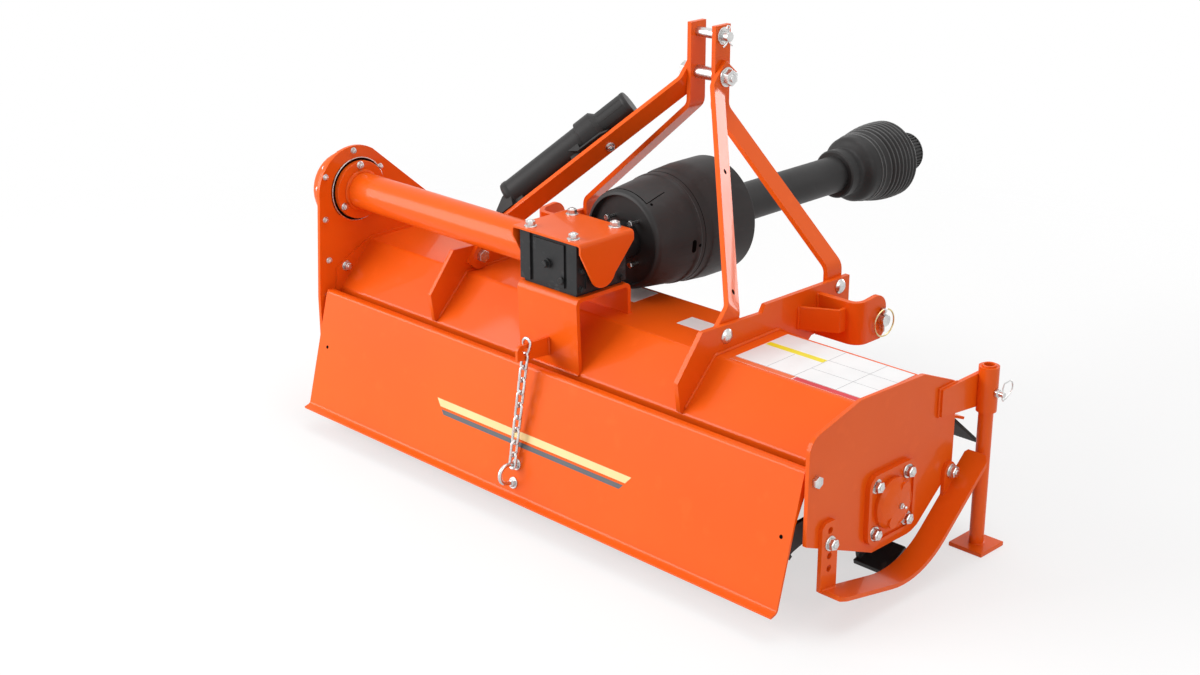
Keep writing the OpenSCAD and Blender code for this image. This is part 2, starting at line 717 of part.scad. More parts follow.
flap_reach = 84;
flap_drop = 70;
module front_deflector() {
    a = [plate_front_y + 6, apron_z - deck_t - 3.1];
    d = unit([apron_flange, -17]);
    b = a + d*18;
    color([0.12, 0.12, 0.12]) home() slab(xl + 8, xr - 8)
        polygon(strip(rounded([a, b, b + [flap_reach, -flap_drop]], 8), -6));
}

// tailboard on two hinge bolts, with a folded hem above and a lip below
tail_x0 = xl + tail_gap;
tail_x1 = xr - tail_gap;
tail_ear = 5;
module tailboard() {
    color(paint) home() difference() {
        union() {
            slab(tail_x0, tail_x1) polygon(strip(rounded([tail_top + [14, -2], tail_top, tail_low,
                tail_low + [-tail_lip, -4]], 7), tail_t));
            for (x = [tail_x0, tail_x1 - tail_ear]) slab(x, x + tail_ear) polygon(concat([tail_top - out],
                arc(pivot, 13, 90 - tail_lean, -60 - tail_lean, 7), [tail_low - tail_dir*130 - out]));
        }
        for (x = [tail_x0, tail_x1 - tail_ear]) translate([0, pivot.x, pivot.y])
            rod_x(x - 1, x + tail_ear + 1, hinge_r + run_gap);
        for (p = [staple_at, staple_low]) translate([tab_x, p.x, p.y]) rotate([90 - tail_lean, 0, 0])
            cylinder(r = staple_r, h = 6*tail_t, center = true);
    }
}

module hinge_bolts() {
    color(zinc) home() translate([0, pivot.x, pivot.y]) {
        rod_x(tail_x1 - tail_ear - 6, xr + plate_t, hinge_r);
        rod_x(xl - plate_t, tail_x0 + tail_ear + 6, hinge_r);
        translate([xr + plate_t, 0, 0]) rotate([0, 90, 0]) cylinder(r = 11, h = 8, $fn = 6);
        translate([xl - plate_t - 8, 0, 0]) rotate([0, 90, 0]) cylinder(r = 11, h = 8, $fn = 6);
    }
}

// chain that holds the tailboard: hook in the tab, links, staple through the board
tab_t = 6;
tab_x = 0;
tab_end = deck_rear_y - 82;
tab_hole = 7;
hook_at = [tab_end + 22, rear_z + 42];
module chain_tab() {
    color(paint) home() difference() {
        slab(tab_x - tab_t/2, tab_x + tab_t/2) polygon(concat([[wall_y(rear_z + 20), rear_z + 20],
            [wall_y(rear_z + 56), rear_z + 56], [tab_end + 10, rear_z + 56]],
            arc([tab_end + 10, rear_z + 46], 10, 90, 180, 4), [[tab_end, rear_z + 28]]));
        translate([0, hook_at.x, hook_at.y]) rod_x(tab_x - tab_t, tab_x + tab_t, tab_hole);
    }
}

module chain_staple() {
    color(zinc) home() translate([tab_x, bow_mid.x, bow_mid.y]) rotate([90 - tail_lean, 0, 0]) {
        for (s = [-1, 1]) translate([0, s*staple_h/2, -28 - tail_t]) cylinder(r = staple_r, h = 28 + tail_t);
        rotate([90, 0, 90]) rotate_extrude(angle = 180) translate([staple_h/2, 0]) circle(r = staple_r);
    }
}

link_w = 7.2;
module link(len) {
    for (s = [-1, 1]) translate([s*link_w, 0, -len/2 + link_w]) cylinder(r = wire_r, h = len - 2*link_w);
    for (s = [-1, 1]) translate([0, 0, s*(len/2 - link_w)]) rotate([s*90, 0, 0])
        rotate_extrude(angle = 180) translate([link_w, 0]) circle(r = wire_r);
}

// the first link hangs in the tab's hole and the last one carries the staple's upper leg
link_gap = 0.5;
chain_top = hook_at + [0, wire_r + 0.8 - tab_hole];
chain_hold = staple_at + out*11;
chain_dir = unit(chain_hold - chain_top);
chain_run = norm(chain_hold - chain_top) + staple_r + wire_r + run_gap;
links_n = 2*floor(chain_run/link_pitch/2) + 1;
module chain() {
    p = (chain_run - 2*wire_r - link_gap)/links_n;
    len = p + 2*wire_r + link_gap;
    color(zinc) home() translate([tab_x, chain_top.x, chain_top.y])
        rotate([atan2(chain_dir.x, -chain_dir.y), 0, 0])
        for (i = [0:links_n - 1]) translate([0, 0, -len/2 - p*i])
            rotate([0, 0, i % 2 == 0 ? 0 : 90]) link(len);
}

// skids: strap with holes, runner that dips to its middle and turns up in front
module skid() {
    x0 = xr + plate_t;
    x1 = x0 + skid_w;
    rear = [strap_y - 16, sole_z];
    dip = [41, sole_z - 45];
    tip = [strap_front.x + 60, strap_front.y + 17];
    rise = (tip.y - dip.y)/(tip.x - dip.x);
    lug = function(y) dip.y + (y - dip.x)*rise + 3;
    difference() {
        union() {
            intersection() {
                slab(x0, x1) polygon(strip(rounded([rear, dip, tip], 170, 10), skid_t));
                linear_extrude(2*az)
                    polygon([[x0, rear.x - 9], [x1 - 16, rear.x - 9], [x1 - 4, rear.x + 2],
                    [x1, rear.x + 14], [x1, tip.x - 14], [x1 - 12, tip.x], [x0 + 10, tip.x], [x0, tip.x - 10]]);
            }
            slab(x0, x0 + skid_t) polygon([[strap_y - 21, sole_z + 4], [strap_y + 21, sole_z - 3],
                [strap_y + 21, sole_z + 118], [strap_y + 12, sole_z + 127], [strap_y - 12, sole_z + 127],
                [strap_y - 21, sole_z + 118]]);
            slab(x0, x0 + skid_t) polygon([[strap_front.x - 18, lug(strap_front.x - 18)],
                [strap_front.x + 16, lug(strap_front.x + 16)], [strap_front.x + 16, strap_front.y + 4],
                [strap_front.x + 6, strap_front.y + 15], [strap_front.x - 10, strap_front.y + 15],
                [strap_front.x - 18, strap_front.y + 4]]);
        }
        for (k = [0:3]) translate([0, strap_y, sole_z + 42 + k*skid_pitch])
            rod_x(x0 - 1, x0 + skid_t + 1, 6);
        translate([0, strap_front.x, strap_front.y]) rod_x(x0 - 1, x0 + skid_t + 1, 6);
    }
}
module skid_right() { color(paint) home() skid(); }
module skid_left() { color(paint) home() translate([2*side_shift, 0, 0]) left_side() skid(); }

// parking stand on the right side plate
stand_z = az + sleeve_z;
pin_z = stand_z + sleeve_l*0.45;
module stand_bracket() {
    x0 = xr + plate_t;
    color(paint) home() difference() {
        union() {
            slab(x0, x0 + 8) polygon([[132, stand_z + 18], [stand_y, stand_z + 6],
                [stand_y, stand_z + sleeve_l - 14], [132, stand_z + sleeve_l - 16]]);
            translate([stand_x, stand_y, stand_z]) cylinder(r = sleeve_r, h = sleeve_l);
        }
        translate([stand_x, stand_y, stand_z - 1]) cylinder(r = leg_r + run_gap, h = sleeve_l + 2);
        translate([0, stand_y, pin_z]) rod_x(stand_x, stand_x + sleeve_r + 1, 5);
    }
}

module stand_pin() {
    color(zinc) home() translate([0, stand_y, pin_z]) {
        rod_x(stand_x + leg_r + 2*run_gap, stand_x + sleeve_r + pin_out, 5);
        rod_x(stand_x + sleeve_r + 0.1, stand_x + sleeve_r + 5, 8);
    }
}

module stand_leg() {
    top = stand_z + sleeve_l + 3;
    color(paint) home() translate([stand_x, stand_y, 0]) {
        difference() {
            translate([0, 0, foot_t]) cylinder(r = leg_r, h = top - foot_t);
            translate([0, 0, top - 60]) cylinder(r = leg_r - 4, h = 61);
        }
        translate([-foot_w/2, -foot_w/2, 0]) cube([foot_w, foot_w, foot_t]);
    }
}

// canister for the manual, on the outside of the left rear brace
can_from = 0.235;
module manual_canister() {
    run = brace_b - brace_a;
    a = atan2(run.y, run.x);
    color(charcoal) home() left_side() brace_frame() translate([brace_a.x, brace_a.y, 0]) rotate([0, 0, a])
        translate([norm(run)*can_from, -hitch_t/2 - 12 - can_r, 0]) {
            rod_x(0, 78, can_r - 4);
            rod_x(78, 106, can_r + 5);
            rod_x(106, can_l, can_r);
            for (x = [122, can_l - 30]) box([x, can_r - 10, -14], [x + 30, can_r + 12, 14]);
        }
}

deck();
end_plate_right();
side_plate_left();
chain_case();
drive_tube();
gearbox();
gearbox_guard();
gearbox_saddle();
clutch_shield();
clutch_hub();
ujoint_cross();
shaft_yoke();
guard_tube_inner();
guard_tube_outer();
guard_bell();
pto_coupling();
hitch_plate_right();
hitch_plate_left();
lower_clevis_right();
lower_clevis_left();
lower_pin_right();
lower_pin_left();
front_strut_right();
front_strut_left();
rear_brace_right();
rear_brace_left();
top_pin();
mast_bolts();
bearing_cap();
rotor_shaft();
tines();
front_deflector();
tailboard();
hinge_bolts();
chain_tab();
chain();
chain_staple();
skid_right();
skid_left();
stand_bracket();
stand_pin();
stand_leg();
manual_canister();
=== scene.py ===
import json
import math

import bpy
from mathutils import Matrix, Vector


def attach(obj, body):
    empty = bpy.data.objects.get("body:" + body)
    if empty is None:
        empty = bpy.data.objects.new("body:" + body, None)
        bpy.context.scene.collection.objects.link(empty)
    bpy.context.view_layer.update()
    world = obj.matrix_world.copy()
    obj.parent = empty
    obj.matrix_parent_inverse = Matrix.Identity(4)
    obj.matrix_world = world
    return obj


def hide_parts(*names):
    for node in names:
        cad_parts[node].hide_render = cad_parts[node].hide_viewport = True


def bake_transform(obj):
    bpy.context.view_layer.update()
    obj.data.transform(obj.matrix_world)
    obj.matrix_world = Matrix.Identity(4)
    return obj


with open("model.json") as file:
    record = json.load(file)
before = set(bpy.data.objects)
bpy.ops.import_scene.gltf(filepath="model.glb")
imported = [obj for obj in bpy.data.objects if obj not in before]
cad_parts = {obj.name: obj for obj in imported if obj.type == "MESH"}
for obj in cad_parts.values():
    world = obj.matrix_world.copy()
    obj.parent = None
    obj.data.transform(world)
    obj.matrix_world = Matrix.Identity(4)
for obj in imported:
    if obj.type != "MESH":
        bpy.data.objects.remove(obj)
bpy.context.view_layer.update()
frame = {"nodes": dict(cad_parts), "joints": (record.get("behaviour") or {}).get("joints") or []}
nodes = frame["nodes"]

# the drawing is in millimetres with the rotor's middle at rotorX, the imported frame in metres
rotorPos = next(j["pos_m"] for j in frame["joints"] if j["name"] == "rotor_spin")
rotorX, rotorZ = 9, 168
driveZ = 478  # height of the gearbox's and the driveline's axis
xAxis, yAxis, zAxis = Vector((1, 0, 0)), Vector((0, 1, 0)), Vector((0, 0, 1))


def at(x, y, z):
    return Vector(((x - rotorX) / 1000 + rotorPos[0], y / 1000 + rotorPos[1], z / 1000))


def mirrored(x):
    return 2 * rotorX - x


# camera as the photo was taken
photo = {"place": (2323.95, -2348.43, 1537.28), "turn": 45.11, "down": 20.69, "roll": -0.18,
         "lens": 55.69, "sensor": 36, "reach": 100}


def addCamera():
    turn, down, roll = (math.radians(photo[k]) for k in ("turn", "down", "roll"))
    ahead = Vector((-math.sin(turn) * math.cos(down), math.cos(turn) * math.cos(down), -math.sin(down)))
    right = Vector((math.cos(turn), math.sin(turn), 0))
    up = right.cross(ahead)
    side = math.cos(roll) * right + math.sin(roll) * up
    top = side.cross(ahead)
    camera = bpy.data.objects.new("photoCamera", bpy.data.cameras.new("photoCamera"))
    bpy.context.scene.collection.objects.link(camera)
    facing = Matrix((side, top, -ahead)).transposed().to_4x4()
    camera.matrix_world = Matrix.Translation(at(*photo["place"])) @ facing
    camera.data.lens = photo["lens"]
    camera.data.sensor_width = photo["sensor"]
    camera.data.clip_end = photo["reach"]
    bpy.context.scene.camera = camera


addCamera()
print("camera: set")

# studio: pale floor, soft lamps, even surround that the camera sees as white
studio = {"floor": (0.92, 0.92, 0.92), "rough": 0.9, "shine": 0.1, "half": 4, "drop": 0.0005,
          "surround": 0.42, "paper": 0.6, "fade": (1.2, 2.6), "aim": (0, 0, 0.3),
          "lamps": [("keyLamp", (-3.0, -4.0, 2.1), 3.6, 235), ("topLamp", (0.2, 0.2, 4.4), 3.6, 80),
                    ("sideLamp", (4.4, -1.4, 2.4), 2.6, 36), ("frontLamp", (0.1, 4.6, 1.0), 1.7, 54)]}


def seenRays(tree, unseen, seen):
    rays = tree.nodes.new("ShaderNodeLightPath")
    value = rays.outputs["Is Camera Ray"]
    for kind in ("Is Glossy Ray", "Is Transmission Ray"):
        either = tree.nodes.new("ShaderNodeMath")
        either.operation = "MAXIMUM"
        tree.links.new(value, either.inputs[0])
        tree.links.new(rays.outputs[kind], either.inputs[1])
        value = either.outputs[0]
    level = tree.nodes.new("ShaderNodeMapRange")
    level.inputs["To Min"].default_value = unseen
    level.inputs["To Max"].default_value = seen
    tree.links.new(value, level.inputs["Value"])
    return level.outputs["Result"]


def addSurround():
    scene = bpy.context.scene
    scene.view_settings.view_transform = "Standard"
    world = bpy.data.worlds.new("studioWorld")
    scene.world = world
    world.use_nodes = True
    back = world.node_tree.nodes["Background"]
    back.inputs["Color"].default_value = (1, 1, 1, 1)
    strength = seenRays(world.node_tree, studio["surround"], 1.0)
    world.node_tree.links.new(strength, back.inputs["Strength"])


def addLamps():
    for name, place, size, power in studio["lamps"]:
        data = bpy.data.lights.new(name, "AREA")
        data.energy, data.size = power, size
        lamp = bpy.data.objects.new(name, data)
        bpy.context.scene.collection.objects.link(lamp)
        lamp.location = place
        aim = Vector(studio["aim"]) - Vector(place)
        lamp.rotation_euler = aim.to_track_quat("-Z", "Y").to_euler()


# far from the object the floor fades into the white surround
def makePaper():
    paper = bpy.data.materials.new("floorPaper")
    paper.use_nodes = True
    tree = paper.node_tree
    shader = tree.nodes["Principled BSDF"]
    shader.inputs["Base Color"].default_value = (*studio["floor"], 1)
    shader.inputs["Roughness"].default_value = studio["rough"]
    shader.inputs["Specular IOR Level"].default_value = studio["shine"]
    spot = tree.nodes.new("ShaderNodeTexCoord")
    reach = tree.nodes.new("ShaderNodeVectorMath")
    reach.operation = "LENGTH"
    tree.links.new(spot.outputs["Object"], reach.inputs[0])
    fade = tree.nodes.new("ShaderNodeMapRange")
    fade.interpolation_type = "SMOOTHSTEP"
    fade.inputs["From Min"].default_value, fade.inputs["From Max"].default_value = studio["fade"]
    tree.links.new(reach.outputs["Value"], fade.inputs["Value"])
    glow = tree.nodes.new("ShaderNodeEmission")
    clear = tree.nodes.new("ShaderNodeBsdfTransparent")
    layers = [(seenRays(tree, 0, studio["paper"]), glow.outputs["Emission"]),
              (fade.outputs["Result"], clear.outputs["BSDF"])]
    surface = shader.outputs["BSDF"]
    for share, other in layers:
        mix = tree.nodes.new("ShaderNodeMixShader")
        tree.links.new(share, mix.inputs[0])
        tree.links.new(surface, mix.inputs[1])
        tree.links.new(other, mix.inputs[2])
        surface = mix.outputs["Shader"]
    tree.links.new(surface, tree.nodes["Material Output"].inputs["Surface"])
    return paper


def addFloor():
    half = studio["half"]
    mesh = bpy.data.meshes.new("studioFloor")
    corners = [(-half, -half, 0), (half, -half, 0), (half, half, 0), (-half, half, 0)]
    mesh.from_pydata(corners, [], [(0, 1, 2, 3)])
    floor = bpy.data.objects.new("studioFloor", mesh)
    bpy.context.scene.collection.objects.link(floor)
    floor.location.z = -studio["drop"]
    mesh.materials.append(makePaper())


addSurround()
addLamps()
addFloor()
print("studio: floor and", len(studio["lamps"]), "lamps")


# printed films: an even tone with hardly any grain
def inkLook(tone, patch, spread, rough):
    return {"tone": tone, "patch": patch, "spread": spread, "rough": rough, "grain": (600, 0.01)}


# finishes: tone and its second tone, spread of the patches, gloss, grain of the surface, scuffs
finishes = {
    "orangePaint": {"tone": (0.84, 0.112, 0.005), "patch": (0.80, 0.100, 0.004), "spread": 3.0,
                    "rough": (0.30, 0.40), "shine": 0.12, "coat": (0.22, 0.05), "grain": (900, 0.02),
                    "scuff": ((0.93, 0.14, 0.012), 26, 0.25)},
    "darkCasting": {"tone": (0.021, 0.021, 0.022), "patch": (0.015, 0.016, 0.017), "spread": 30,
                    "rough": (0.42, 0.60), "shine": 0.22, "grain": (420, 0.18),
                    "scuff": ((0.07, 0.07, 0.07), 60, 0.4)},
    "blackPlastic": {"tone": (0.026, 0.025, 0.025), "patch": (0.020, 0.019, 0.019), "spread": 9,
                     "rough": (0.40, 0.52), "shine": 0.24, "grain": (1500, 0.06),
                     "scuff": ((0.045, 0.045, 0.045), 34, 0.35)},
    # lighter copy of the black plastic: painted highlight along the bell's ridges, with a real glossier
    # surface
    "ribHighlightPlastic": {"tone": (0.085, 0.085, 0.085), "patch": (0.065, 0.065, 0.065), "spread": 20,
                   "rough": (0.26, 0.36), "shine": 0.45, "grain": (1500, 0.04),
                   "scuff": ((0.11, 0.11, 0.11), 40, 0.35)},
    "flapRubber": {"tone": (0.022, 0.022, 0.022), "patch": (0.016, 0.016, 0.016), "spread": 14,
                   "rough": (0.65, 0.80), "shine": 0.3, "grain": (700, 0.12),
                   "scuff": ((0.05, 0.048, 0.045), 22, 0.5)},
    "zincPlate": {"tone": (0.70, 0.70, 0.69), "patch": (0.55, 0.55, 0.55), "spread": 60,
                  "rough": (0.20, 0.36), "metal": 1.0, "grain": (900, 0.03),
                  "scuff": ((0.45, 0.45, 0.44), 90, 0.5)},
    "goldZinc": {"tone": (0.74, 0.56, 0.24), "patch": (0.66, 0.56, 0.36), "spread": 80,
                 "rough": (0.20, 0.34), "metal": 1.0, "grain": (900, 0.03),
                 "scuff": ((0.5, 0.46, 0.36), 120, 0.5)},
    "tinePaint": {"tone": (0.018, 0.018, 0.019), "patch": (0.028, 0.027, 0.026), "spread": 22,
                  "rough": (0.34, 0.55), "shine": 0.3, "coat": (0.1, 0.25), "grain": (500, 0.08),
                  "scuff": ((0.12, 0.115, 0.11), 40, 0.45)},
    "blankSign": {"tone": (0.86, 0.86, 0.86), "patch": (0.82, 0.82, 0.82), "spread": 20,
                  "rough": (0.28, 0.36), "coat": (0.3, 0.1), "grain": (600, 0.01),
                  "scuff": ((0.76, 0.76, 0.76), 50, 0.2)},
    "signLine": inkLook((0.34, 0.34, 0.35), (0.28, 0.28, 0.29), 20, (0.4, 0.5)),
    "signYellow": inkLook((0.86, 0.72, 0.01), (0.80, 0.66, 0.01), 20, (0.3, 0.4)),
    "signRed": inkLook((0.66, 0.010, 0.022), (0.58, 0.008, 0.018), 20, (0.3, 0.4)),
    "signOrange": inkLook((0.80, 0.13, 0.02), (0.72, 0.11, 0.015), 20, (0.3, 0.4)),
    "sandStripe": inkLook((0.90, 0.66, 0.30), (0.84, 0.60, 0.26), 16, (0.3, 0.4)),
    "slateStripe": inkLook((0.085, 0.095, 0.105), (0.07, 0.08, 0.09), 16, (0.3, 0.4)),
    # near-black finish: painted shade inside holes, slots and gaps, and the real dark seams and gasket line
    "paintedShadeAndJoints": {"tone": (0.003, 0.003, 0.003), "patch": (0.005, 0.005, 0.005), "spread": 40,
                "rough": (0.7, 0.9), "shine": 0.0, "grain": (600, 0.02)},
}

# how the noises turn into patches, scuffs, gloss and grain; sockets of the colour mix
texture = {"patch": (0.35, 0.68), "patchDetail": 4, "scuff": (0.60, 0.72), "scuffDetail": 9,
           "glossFiner": 3.7, "glossDetail": 5, "grainDetail": 2, "grainDepth": 0.0006}
mixSocket = {"share": 0, "under": 6, "over": 7, "result": 2}


def makeFinish(name, look):
    material = bpy.data.materials.new(name)
    material.use_nodes = True
    tree = material.node_tree
    shader = tree.nodes["Principled BSDF"]
    place = tree.nodes.new("ShaderNodeTexCoord")

    def noise(scale, detail):
        node = tree.nodes.new("ShaderNodeTexNoise")
        node.inputs["Scale"].default_value = scale
        node.inputs["Detail"].default_value = detail
        tree.links.new(place.outputs["Object"], node.inputs["Vector"])
        return node.outputs["Fac"]

    ramp = tree.nodes.new("ShaderNodeValToRGB")
    for stop, share, key in zip(ramp.color_ramp.elements, texture["patch"], ("tone", "patch")):
        stop.position = share
        stop.color = (*look[key], 1)
    tree.links.new(noise(look["spread"], texture["patchDetail"]), ramp.inputs["Fac"])
    colour = ramp.outputs["Color"]
    if "scuff" in look:
        tone, size, amount = look["scuff"]
        mask = tree.nodes.new("ShaderNodeMapRange")
        mask.inputs["From Min"].default_value, mask.inputs["From Max"].default_value = texture["scuff"]
        mask.inputs["To Max"].default_value = amount
        tree.links.new(noise(size, texture["scuffDetail"]), mask.inputs["Value"])
        mix = tree.nodes.new("ShaderNodeMix")
        mix.data_type = "RGBA"
        tree.links.new(mask.outputs["Result"], mix.inputs[mixSocket["share"]])
        tree.links.new(colour, mix.inputs[mixSocket["under"]])
        mix.inputs[mixSocket["over"]].default_value = (*tone, 1)
        colour = mix.outputs[mixSocket["result"]]
    tree.links.new(colour, shader.inputs["Base Color"])
    gloss = tree.nodes.new("ShaderNodeMapRange")
    gloss.inputs["To Min"].default_value, gloss.inputs["To Max"].default_value = look["rough"]
    glossNoise = noise(look["spread"] * texture["glossFiner"], texture["glossDetail"])
    tree.links.new(glossNoise, gloss.inputs["Value"])
    tree.links.new(gloss.outputs["Result"], shader.inputs["Roughness"])
    grain, strength = look["grain"]
    bump = tree.nodes.new("ShaderNodeBump")
    bump.inputs["Strength"].default_value = strength
    bump.inputs["Distance"].default_value = texture["grainDepth"]
    tree.links.new(noise(grain, texture["grainDetail"]), bump.inputs["Height"])
    tree.links.new(bump.outputs["Normal"], shader.inputs["Normal"])
    shader.inputs["Metallic"].default_value = look.get("metal", 0)
    shader.inputs["Specular IOR Level"].default_value = look.get("shine", 0.5)
    if "coat" in look:
        weight, rough = look["coat"]
        shader.inputs["Coat Weight"].default_value = weight
        shader.inputs["Coat Roughness"].default_value = rough
    return material


paints = {name: makeFinish(name, look) for name, look in finishes.items()}
print("finishes:", len(paints))

# which finish each carried-over piece wears, and how far its edges are eased
wear = {
    "orangePaint": "deck end_plate_right side_plate_left chain_case drive_tube gearbox_guard gearbox_saddle "
                   "hitch_plate_right hitch_plate_left lower_clevis_right lower_clevis_left "
                   "front_strut_right front_strut_left rear_brace_right rear_brace_left tailboard chain_tab "
                   "skid_right skid_left stand_bracket stand_leg bearing_cap",
    "darkCasting": "gearbox",
    "blackPlastic": "clutch_shield guard_tube_inner guard_tube_outer guard_bell manual_canister pto_coupling",
    "flapRubber": "front_deflector",
    "zincPlate": "lower_pin_right lower_pin_left top_pin mast_bolts hinge_bolts chain chain_staple stand_pin "
                 "ujoint_cross",
    "tinePaint": "rotor_shaft tines clutch_hub shaft_yoke",
}
eased = {"orangePaint": 0.0012, "darkCasting": 0.0016, "blackPlastic": 0.0008, "flapRubber": 0.0010,
         "zincPlate": 0.0006, "tinePaint": 0.0010}
easing = {"weld": 0.00001, "flat": 0.4, "sharp": 38, "steps": 2}


def dressNode(piece, finish):
    mesh = piece.data
    mesh.materials.clear()
    mesh.materials.append(paints[finish])
    if "custom_normal" in mesh.attributes:
        mesh.attributes.remove(mesh.attributes["custom_normal"])
    mesh.polygons.foreach_set("use_smooth", [True] * len(mesh.polygons))
    weld = piece.modifiers.new("weld", "WELD")
    weld.merge_threshold = easing["weld"]
    flat = piece.modifiers.new("wholeFaces", "DECIMATE")
    flat.decimate_type = "DISSOLVE"
    flat.angle_limit = math.radians(easing["flat"])
    bevel = piece.modifiers.new("easedEdges", "BEVEL")
    bevel.width = eased[finish]
    bevel.segments = easing["steps"]
    bevel.limit_method = "ANGLE"
    bevel.angle_limit = math.radians(easing["sharp"])
    bevel.use_clamp_overlap = True
    even = piece.modifiers.new("evenShade", "WEIGHTED_NORMAL")
    even.keep_sharp = True


for finish, names in wear.items():
    for name in names.split():
        dressNode(nodes[name], finish)
print("nodes dressed:", sum(len(names.split()) for names in wear.values()))


# small shapes are gathered in a heap of points and faces, then made into one piece
def heap():
    return {"points": [], "faces": []}


# rings of equal count, joined in a row and closed at both ends or into a circle
def addRings(pile, rings, closed=False):
    start, count, sides = len(pile["points"]), len(rings), len(rings[0])
    for ring in rings:
        pile["points"].extend(ring)
    for i in range(count if closed else count - 1):
        here, there = start + i * sides, start + (i + 1) % count * sides
        for k in range(sides):
            n = (k + 1) % sides
            pile["faces"].append((here + k, here + n, there + n, there + k))
    if not closed:
        last = start + (count - 1) * sides
        pile["faces"].append(tuple(start + k for k in reversed(range(sides))))
        pile["faces"].append(tuple(last + k for k in range(sides)))


def addLathe(pile, foot, axis, profile, sides):
    axis = Vector(axis).normalized()
    across = axis.orthogonal().normalized()
    other = axis.cross(across)
    turns = [2 * math.pi * k / sides for k in range(sides)]
    addRings(pile, [[foot + axis * h / 1000 + (across * math.cos(a) + other * math.sin(a)) * r / 1000
                     for a in turns] for r, h in profile])


def addTube(pile, path, radius, sides=10, closed=False):
    count = len(path)
    sizes = radius if isinstance(radius, list) else [radius] * count
    ahead = [((path[(i + 1) % count] if closed or i < count - 1 else path[i])
              - (path[i - 1] if closed or i > 0 else path[i])).normalized() for i in range(count)]
    side = ahead[0].orthogonal().normalized()
    turns = [2 * math.pi * k / sides for k in range(sides)]
    rings = []
    for i in range(count):
        side = (side - ahead[i] * side.dot(ahead[i])).normalized()
        other = ahead[i].cross(side)
        rings.append([path[i] + (side * math.cos(a) + other * math.sin(a)) * sizes[i] / 1000 for a in turns])
    addRings(pile, rings, closed)


def addSlab(pile, outline, depth):
    addRings(pile, [outline, [p + depth for p in outline]])


# shares of the width across the flats: a nut's chamfers, a bolt's washer and end
nutShares = {"foot": (0.94, 0.04), "crown": (0.86, 0.08)}
boltShares = {"washer": (0.74, 0.14), "rim": 0.75, "end": 0.30, "rise": 0.06, "tip": (0.22, 0.11)}
boltEase = {"rim": 0.6, "sunk": 0.2, "washerSides": 28, "endSides": 18}


def addNut(pile, foot, axis, across, lift=0.0, height=0.55):
    corner = across / math.sqrt(3)
    top = lift + across * height
    footR, footH = nutShares["foot"]
    crownR, crownH = nutShares["crown"]
    addLathe(pile, foot, axis, [(corner * footR, lift), (corner, lift + across * footH),
                                (corner, top - across * crownH), (corner * crownR, top)], 6)
    return top


def addBolt(pile, foot, axis, across, washer=True):
    lift = 0
    if washer:
        r, lift = (across * share for share in boltShares["washer"])
        rim = [(r, 0), (r, lift * boltShares["rim"]), (r - boltEase["rim"], lift)]
        addLathe(pile, foot, axis, rim, boltEase["washerSides"])
    top = addNut(pile, foot, axis, across, lift)
    end = across * boltShares["end"]
    tipR, tipH = (across * share for share in boltShares["tip"])
    addLathe(pile, foot, axis, [(end, top - boltEase["sunk"]), (end, top + across * boltShares["rise"]),
                                (tipR, top + tipH)], boltEase["endSides"])


# a weld bead: spacing of its ripples in metres, and shares of its size in them and at its ends
bead = {"step": 0.0035, "ripple": 0.86, "ends": 0.6}


def addBead(pile, points, size):
    path, sizes = [], []
    for a, b in zip(points, points[1:]):
        steps = max(2, int((b - a).length / bead["step"]))
        for i in range(steps):
            path.append(a.lerp(b, i / steps))
            sizes.append(size * (bead["ripple"] if len(sizes) % 2 else 1.0))
    path.append(points[-1])
    sizes.append(size * bead["ends"])
    sizes[0] = size * bead["ends"]
    addTube(pile, path, sizes, 8)


def makePiece(name, pile, finish, body, sharp=32):
    mesh = bpy.data.meshes.new(name)
    mesh.from_pydata(pile["points"], [], pile["faces"])
    mesh.update()
    mesh.polygons.foreach_set("use_smooth", [True] * len(mesh.polygons))
    mesh.set_sharp_from_angle(angle=math.radians(sharp))
    mesh.materials.append(paints[finish])
    piece = bpy.data.objects.new(name, mesh)
    bpy.context.scene.collection.objects.link(piece)
    if body:
        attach(piece, body)
    return piece


def ringPath(centre, u, v, r, count=28, a0=0.0, a1=360.0):
    steps = count if abs(a1 - a0) >= 360 else count - 1
    turns = [math.radians(a0 + (a1 - a0) * i / steps) for i in range(count)]
    return [centre + (u * math.cos(a) + v * math.sin(a)) * r / 1000 for a in turns]


# bolts of the left side plate, drive tube and gearbox guard, the tube's seal, and a dark ring painted as the
# shade in the gap round the tube
driveBolts = {"plate": [(-114, 560), (-48, 514), (-187, 518), (-193, 430), (-190, 343)], "plateX": -629,
              "plateBolt": 9, "tube": (-106, driveZ), "tubeX": -617, "tubeRing": 53, "tubeTurn": -2,
              "tubeStep": 118, "tubeCount": 3, "tubeBolt": 11,
              "guard": [(-56, -155), (-56, -50), (56, -50), (56, -155)], "guardZ": 533, "guardBolt": 16,
              "deckEnd": (-625, -150, 323), "deckBolt": 14,
              "seal": 65.5, "sealWire": 1.1, "sealLift": 0.4, "gap": (59, 0.1, 0.4)}


